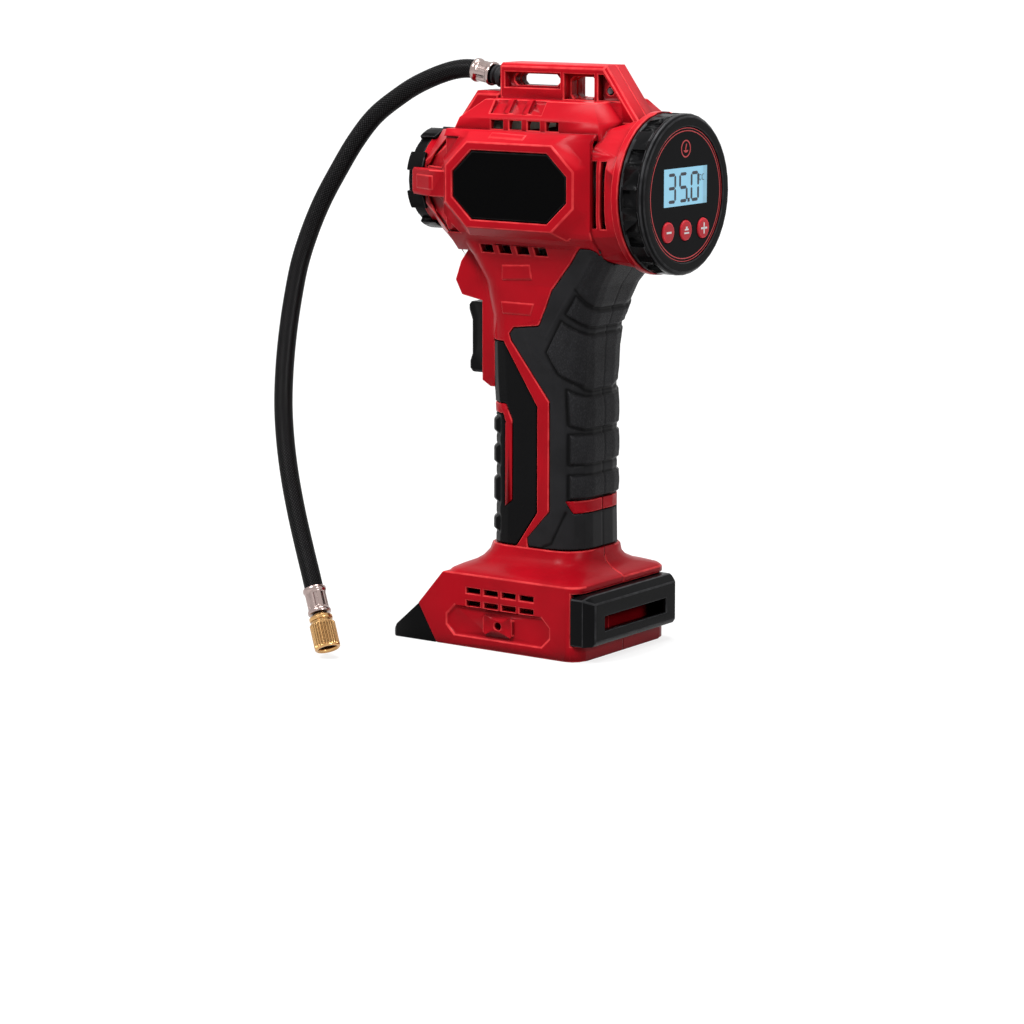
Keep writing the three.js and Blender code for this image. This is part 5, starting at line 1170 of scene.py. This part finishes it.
def shown_number(text, left, low, height, width):
    """The outlines of a row of seven-segment digits and points that starts at (left, low)."""
    outlines = []
    stroke = height * DIGIT_STROKE
    for sign in text:
        if sign == ".":
            outlines.append(box_outline(left - width * 0.42, low + stroke * 0.1, stroke * 0.6, stroke * 0.6))
            continue
        for segment in SEGMENTS[sign]:
            y0, z0, y1, z1 = SEGMENT_ENDS[segment]
            start, end = ((left + y * width, low + z * height / 2) for y, z in ((y0, z0), (y1, z1)))
            outlines.append(bar_outline(start, end, stroke, stroke * 0.14))
        left += width * DIGIT_PITCH
    return outlines


def printed_ring(name, inner, outer, z, sides):
    """A thin red ring on the lens, between two radii round the height z."""
    rows = [[inner, -PRINT_SINK], [outer, -PRINT_SINK], [outer, PRINT], [inner, PRINT]]
    turned(name, rows, (LENS_FACE_X, 0, z), (1, 0, 0), "print_red", "housing", sides, ring=True)


def gauge_prints(sizes):
    """The lit display with its digits, the thin red rings and the round sign, all lying on the lens."""
    half_y, half_z = DISPLAY_HALF
    face = LENS_FACE_X + PRINT
    glass = plates("display_glass", [box_outline(0, DISPLAY_Z, half_y, half_z)], LENS_FACE_X - 0.2, face,
                   "display_blue", "housing")
    height = sizes.digit_height
    low = DISPLAY_Z - height / 2 - 0.3
    digits = shown_number(sizes.reading, DIGITS_LEFT - half_y, low, height, height * DIGIT_WIDTH)
    digits += shown_number("0C", half_y - UNIT_RIGHT, low + height * UNIT_RISE, *UNIT_SIZE)
    plates("display_digits", digits, face, face + PRINT, "display_segment", "housing")
    rings = {"lens_ring": (sizes.ring_radius, 0.42), "lens_ring_outer": (OUTER_RING_RADIUS, 0.3)}
    for name, (radius, width) in rings.items():
        printed_ring(name, radius - width / 2, radius + width / 2, GAUGE_Z, 160)
    sign_z = GAUGE_Z + SIGN_RISE
    printed_ring("sign_ring", *SIGN_RADII, sign_z, 64)
    angle = np.linspace(math.radians(-150), math.radians(-30), 12)
    bowl = [(DIAL_RADIUS * math.cos(a), sign_z + 0.4 + DIAL_RADIUS * math.sin(a)) for a in angle]
    needle = bar_outline((-0.4, sign_z - 0.6), (0.5, sign_z + 2.2), 0.7, 0)
    plates("sign_dial", [bowl, needle], LENS_FACE_X - PRINT_SINK, face, "print_red", "housing")


def button_signs():
    """A white sign on each button: a bar, a small cap over a line and a cross."""
    signs = {
        "button_minus": [(0, 1.9, 0.42)],
        "button_mode": [(-1.1, 1.9, 0.36), (0.35, 1.5, 0.32), (1.15, 0.6, 0.5)],
        "button_plus": [(0, 2.4, 0.42), (0, 0.42, 2.4)],
    }
    for node, bars in signs.items():
        low, high = node_box(node)
        y, z = (low[1] + high[1]) / 2, (low[2] + high[2]) / 2
        outlines = [box_outline(y, z + rise, half_y, half_z) for rise, half_y, half_z in bars]
        plates(f"{node}_sign", outlines, high[0] - PRINT_SINK, high[0] + PRINT, "print_white",
               frame["nodes"][node]["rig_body"])


class INFLATOR_OT_gauge(bpy.types.Operator):
    """Makes the gauge's rim, lens, display and buttons"""

    bl_idname = "inflator.gauge"
    bl_label = "Gauge"

    def execute(self, context):
        softened("gauge_bezel", "satin_black", 0.5)
        lens = dress(cad_copy("gauge_lens", "gauge_lens_clear"), "lens_black", "housing", 25)
        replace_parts(lens, "gauge_lens")
        gauge_prints(context.scene.inflator_gauge)
        for node in ("button_minus", "button_mode", "button_plus"):
            softened(node, "button_red", 0.3)
        button_signs()
        return {"FINISHED"}


# ---------------------------------------------------------------- what keeps its CAD form

# The solids inside, by the finish that they take.
PLAIN_NODES = {
    "display_blue": ["lcd_module"],
    "circuit_board": ["gauge_board"],
    "trim_black": ["pressure_sensor", "trigger_switch", "motor_end_cap", "terminal_block"],
    "steel": ["motor_can", "pinion", "crank_shaft", "crank_pin", "crank_bearing", "wrist_pin"],
    "dark_steel": ["motor_rotor", "motor_magnet"],
    "aluminium": ["pump_frame", "cylinder", "cylinder_head", "piston", "connecting_rod"],
    "white_nylon": ["crank_gear"],
    "seal_rubber": ["head_gasket", "piston_ring"],
    "copper": ["air_pipe"],
    "brass": ["contact_positive", "contact_negative"],
    "nickel": ["outlet_fitting"],
    "lead_red": ["battery_lead_positive", "motor_lead_positive"],
    "lead_black": ["battery_lead_negative", "motor_lead_negative", "sensor_pipe"],
}


def trigger_spring():
    """The trigger's spring, a copy of its CAD node with a mesh of its own."""
    spring = dress(cad_copy("trigger_spring", "trigger_spring_wire"), "steel", "housing", 40)
    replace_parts(spring, "trigger_spring")
    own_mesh(spring)


class INFLATOR_OT_inside(bpy.types.Operator):
    """Finishes the pieces inside the housing, which keep their form, and makes the trigger's spring"""

    bl_idname = "inflator.inside"
    bl_label = "Inside"

    def execute(self, context):
        for finish, nodes in PLAIN_NODES.items():
            for node in nodes:
                for slot in frame["nodes"][node].material_slots:
                    slot.material = finish_named(finish)
        trigger_spring()
        return {"FINISHED"}


# ---------------------------------------------------------------- the stage

# The camera's place in mm, its direction from the tool round Z and upwards, and its focal length and the
# picture's side, both in pixels.
CAMERA_PLACE = np.array([848.77, -1221.32, 327.12])
CAMERA_AZIMUTH = math.radians(54.394)
CAMERA_HEIGHT = math.radians(10.249)
FOCAL_PIXELS = 3395.5
PICTURE_PIXELS = 1024
# What the lamps point at, in metres, and the side lamp's power as a share of the key lamp's.
LAMP_AIM = np.array([-0.02, -0.02, 0.14])
SIDE_POWER = 0.35
# How strongly the surround lights the object.
SURROUND = 0.07
# The floor's glow near the tool, how much more it is far away, and from where to where it rises, in metres.
FLOOR_GLOW = 0.79
FLOOR_GLOW_RISE = 0.2
FLOOR_GLOW_REACH = (0.2, 2.2)


def set_up(name, data, right, up, back, place):
    """An object for a camera or lamp, which looks away from back, at a place in metres."""
    thing = bpy.data.objects.new(name, data)
    bpy.context.scene.collection.objects.link(thing)
    thing.matrix_world = Matrix([[*row, at] for row, at in zip(zip(right, up, back), place)] + [[0, 0, 0, 1]])
    return thing


def make_camera():
    """The camera at the photograph's viewing angle."""
    data = bpy.data.cameras.new("camera")
    data.sensor_width = 36
    data.lens = FOCAL_PIXELS / PICTURE_PIXELS * data.sensor_width
    data.clip_start = 0.05
    back = np.array([math.cos(CAMERA_HEIGHT) * math.cos(CAMERA_AZIMUTH),
                     -math.cos(CAMERA_HEIGHT) * math.sin(CAMERA_AZIMUTH), math.sin(CAMERA_HEIGHT)])
    right = np.array([math.sin(CAMERA_AZIMUTH), math.cos(CAMERA_AZIMUTH), 0])
    bpy.context.scene.camera = set_up("camera", data, right, np.cross(back, right), back, CAMERA_PLACE * MM)


def make_lamp(name, place, size, power):
    """A square soft lamp at a place in metres, turned to the tool."""
    data = bpy.data.lights.new(name, "AREA")
    data.size = size
    data.energy = power
    back = place - LAMP_AIM
    set_up(name, data, *frame_along(back), unit(back), place)


def make_floor(side):
    """A pale floor that the camera sees as near white where nothing shades it."""
    half = side / 2
    mesh = bpy.data.meshes.new("floor")
    mesh.from_pydata([(x, y, 0) for x, y in box_outline(0, 0, half, half)], [], [range(4)])
    floor = bpy.data.objects.new("floor", mesh)
    bpy.context.scene.collection.objects.link(floor)
    shader = Shader("floor_pale")
    speck = shader.noise(400, 2)
    base = shader.mix(speck, (0.24, 0.24, 0.24), (0.26, 0.26, 0.26))
    shader.finish(Base_Color=base, Roughness=0.75, Specular_IOR_Level=0.2)
    away = shader.add("ShaderNodeVectorMath", [shader.place()], output="Value", operation="LENGTH")
    strength = shader.seen() * (away.step(*FLOOR_GLOW_REACH) * FLOOR_GLOW_RISE + FLOOR_GLOW)
    glow = shader.add("ShaderNodeEmission", {"Color": (1, 1, 1), "Strength": strength})
    lit = shader.add("ShaderNodeAddShader", [Value(shader, shader.surface.outputs["BSDF"]), glow])
    shader.feed(shader.tree.nodes["Material Output"].inputs["Surface"], lit)
    mesh.materials.append(shader.material)


def make_world():
    """A white surround for the camera and for reflections, and a soft grey light on the object."""
    world = bpy.data.worlds.new("studio")
    world.use_nodes = True
    bpy.context.scene.world = world
    nodes = Nodes(world.node_tree)
    background = nodes.tree.nodes["Background"]
    nodes.feed(background.inputs["Color"], (1, 1, 1))
    strength = nodes.add("ShaderNodeMapRange", {"Value": nodes.seen(), "To Min": SURROUND, "To Max": 1})
    nodes.feed(background.inputs["Strength"], strength)


class INFLATOR_OT_stage(bpy.types.Operator):
    """Makes the floor, the surround, the lamps and the camera"""

    bl_idname = "inflator.stage"
    bl_label = "Stage"

    def execute(self, context):
        sizes = context.scene.inflator_stage
        make_floor(sizes.floor)
        make_world()
        make_camera()
        make_lamp("key_lamp", (-0.35, -1.05, 1.3), 0.5, sizes.key_power)
        make_lamp("top_lamp", (0.1, 0.1, 1.5), 0.7, sizes.key_power)
        make_lamp("side_lamp", (1.4, -0.5, 0.75), 0.4, sizes.key_power * SIDE_POWER)
        context.scene.view_settings.view_transform = "Standard"
        return {"FINISHED"}


# ---------------------------------------------------------------- the finishes' operator and the panel


class INFLATOR_OT_finishes(bpy.types.Operator):
    """Makes every finish of the object"""

    bl_idname = "inflator.finishes"
    bl_label = "Finishes"

    def execute(self, context):
        make_finishes(context.scene.inflator_colours)
        return {"FINISHED"}


class INFLATOR_PT_panel(bpy.types.Panel):
    """Lists the steps that make the inflator"""

    bl_label = "Tire Inflator"
    bl_idname = "INFLATOR_PT_panel"
    bl_space_type = "VIEW_3D"
    bl_region_type = "UI"
    bl_category = "Inflator"

    def draw(self, context):
        for step in STEPS:
            self.layout.operator(step.bl_idname)
        for group, _ in GROUPS:
            self.layout.label(text=group.replace("inflator_", ""))
            sizes = getattr(context.scene, group)
            for name in sizes.__annotations__:
                self.layout.prop(sizes, name)


GROUPS = [("inflator_shell", ShellSizes), ("inflator_grip", GripSizes), ("inflator_hose", HoseSizes),
          ("inflator_gauge", GaugeSizes), ("inflator_colours", FinishColours), ("inflator_stage", StageSizes)]
STEPS = [INFLATOR_OT_finishes, INFLATOR_OT_stage, INFLATOR_OT_hose, INFLATOR_OT_shell, INFLATOR_OT_trim,
         INFLATOR_OT_grip, INFLATOR_OT_gauge, INFLATOR_OT_inside]


def register():
    """Makes the sizes, colours, steps and the panel known to Blender."""
    for name, group in GROUPS:
        bpy.utils.register_class(group)
        setattr(bpy.types.Scene, name, bpy.props.PointerProperty(type=group))
    for step in (*STEPS, INFLATOR_PT_panel):
        bpy.utils.register_class(step)


def unregister():
    """Takes away all that register has made known."""
    for step in (INFLATOR_PT_panel, *reversed(STEPS)):
        bpy.utils.unregister_class(step)
    for name, group in reversed(GROUPS):
        delattr(bpy.types.Scene, name)
        bpy.utils.unregister_class(group)


def main():
    """Makes the whole object."""
    register()
    for step in STEPS:
        family, name = step.bl_idname.split(".")
        getattr(getattr(bpy.ops, family), name)()


if __name__ == "__main__":
    main()
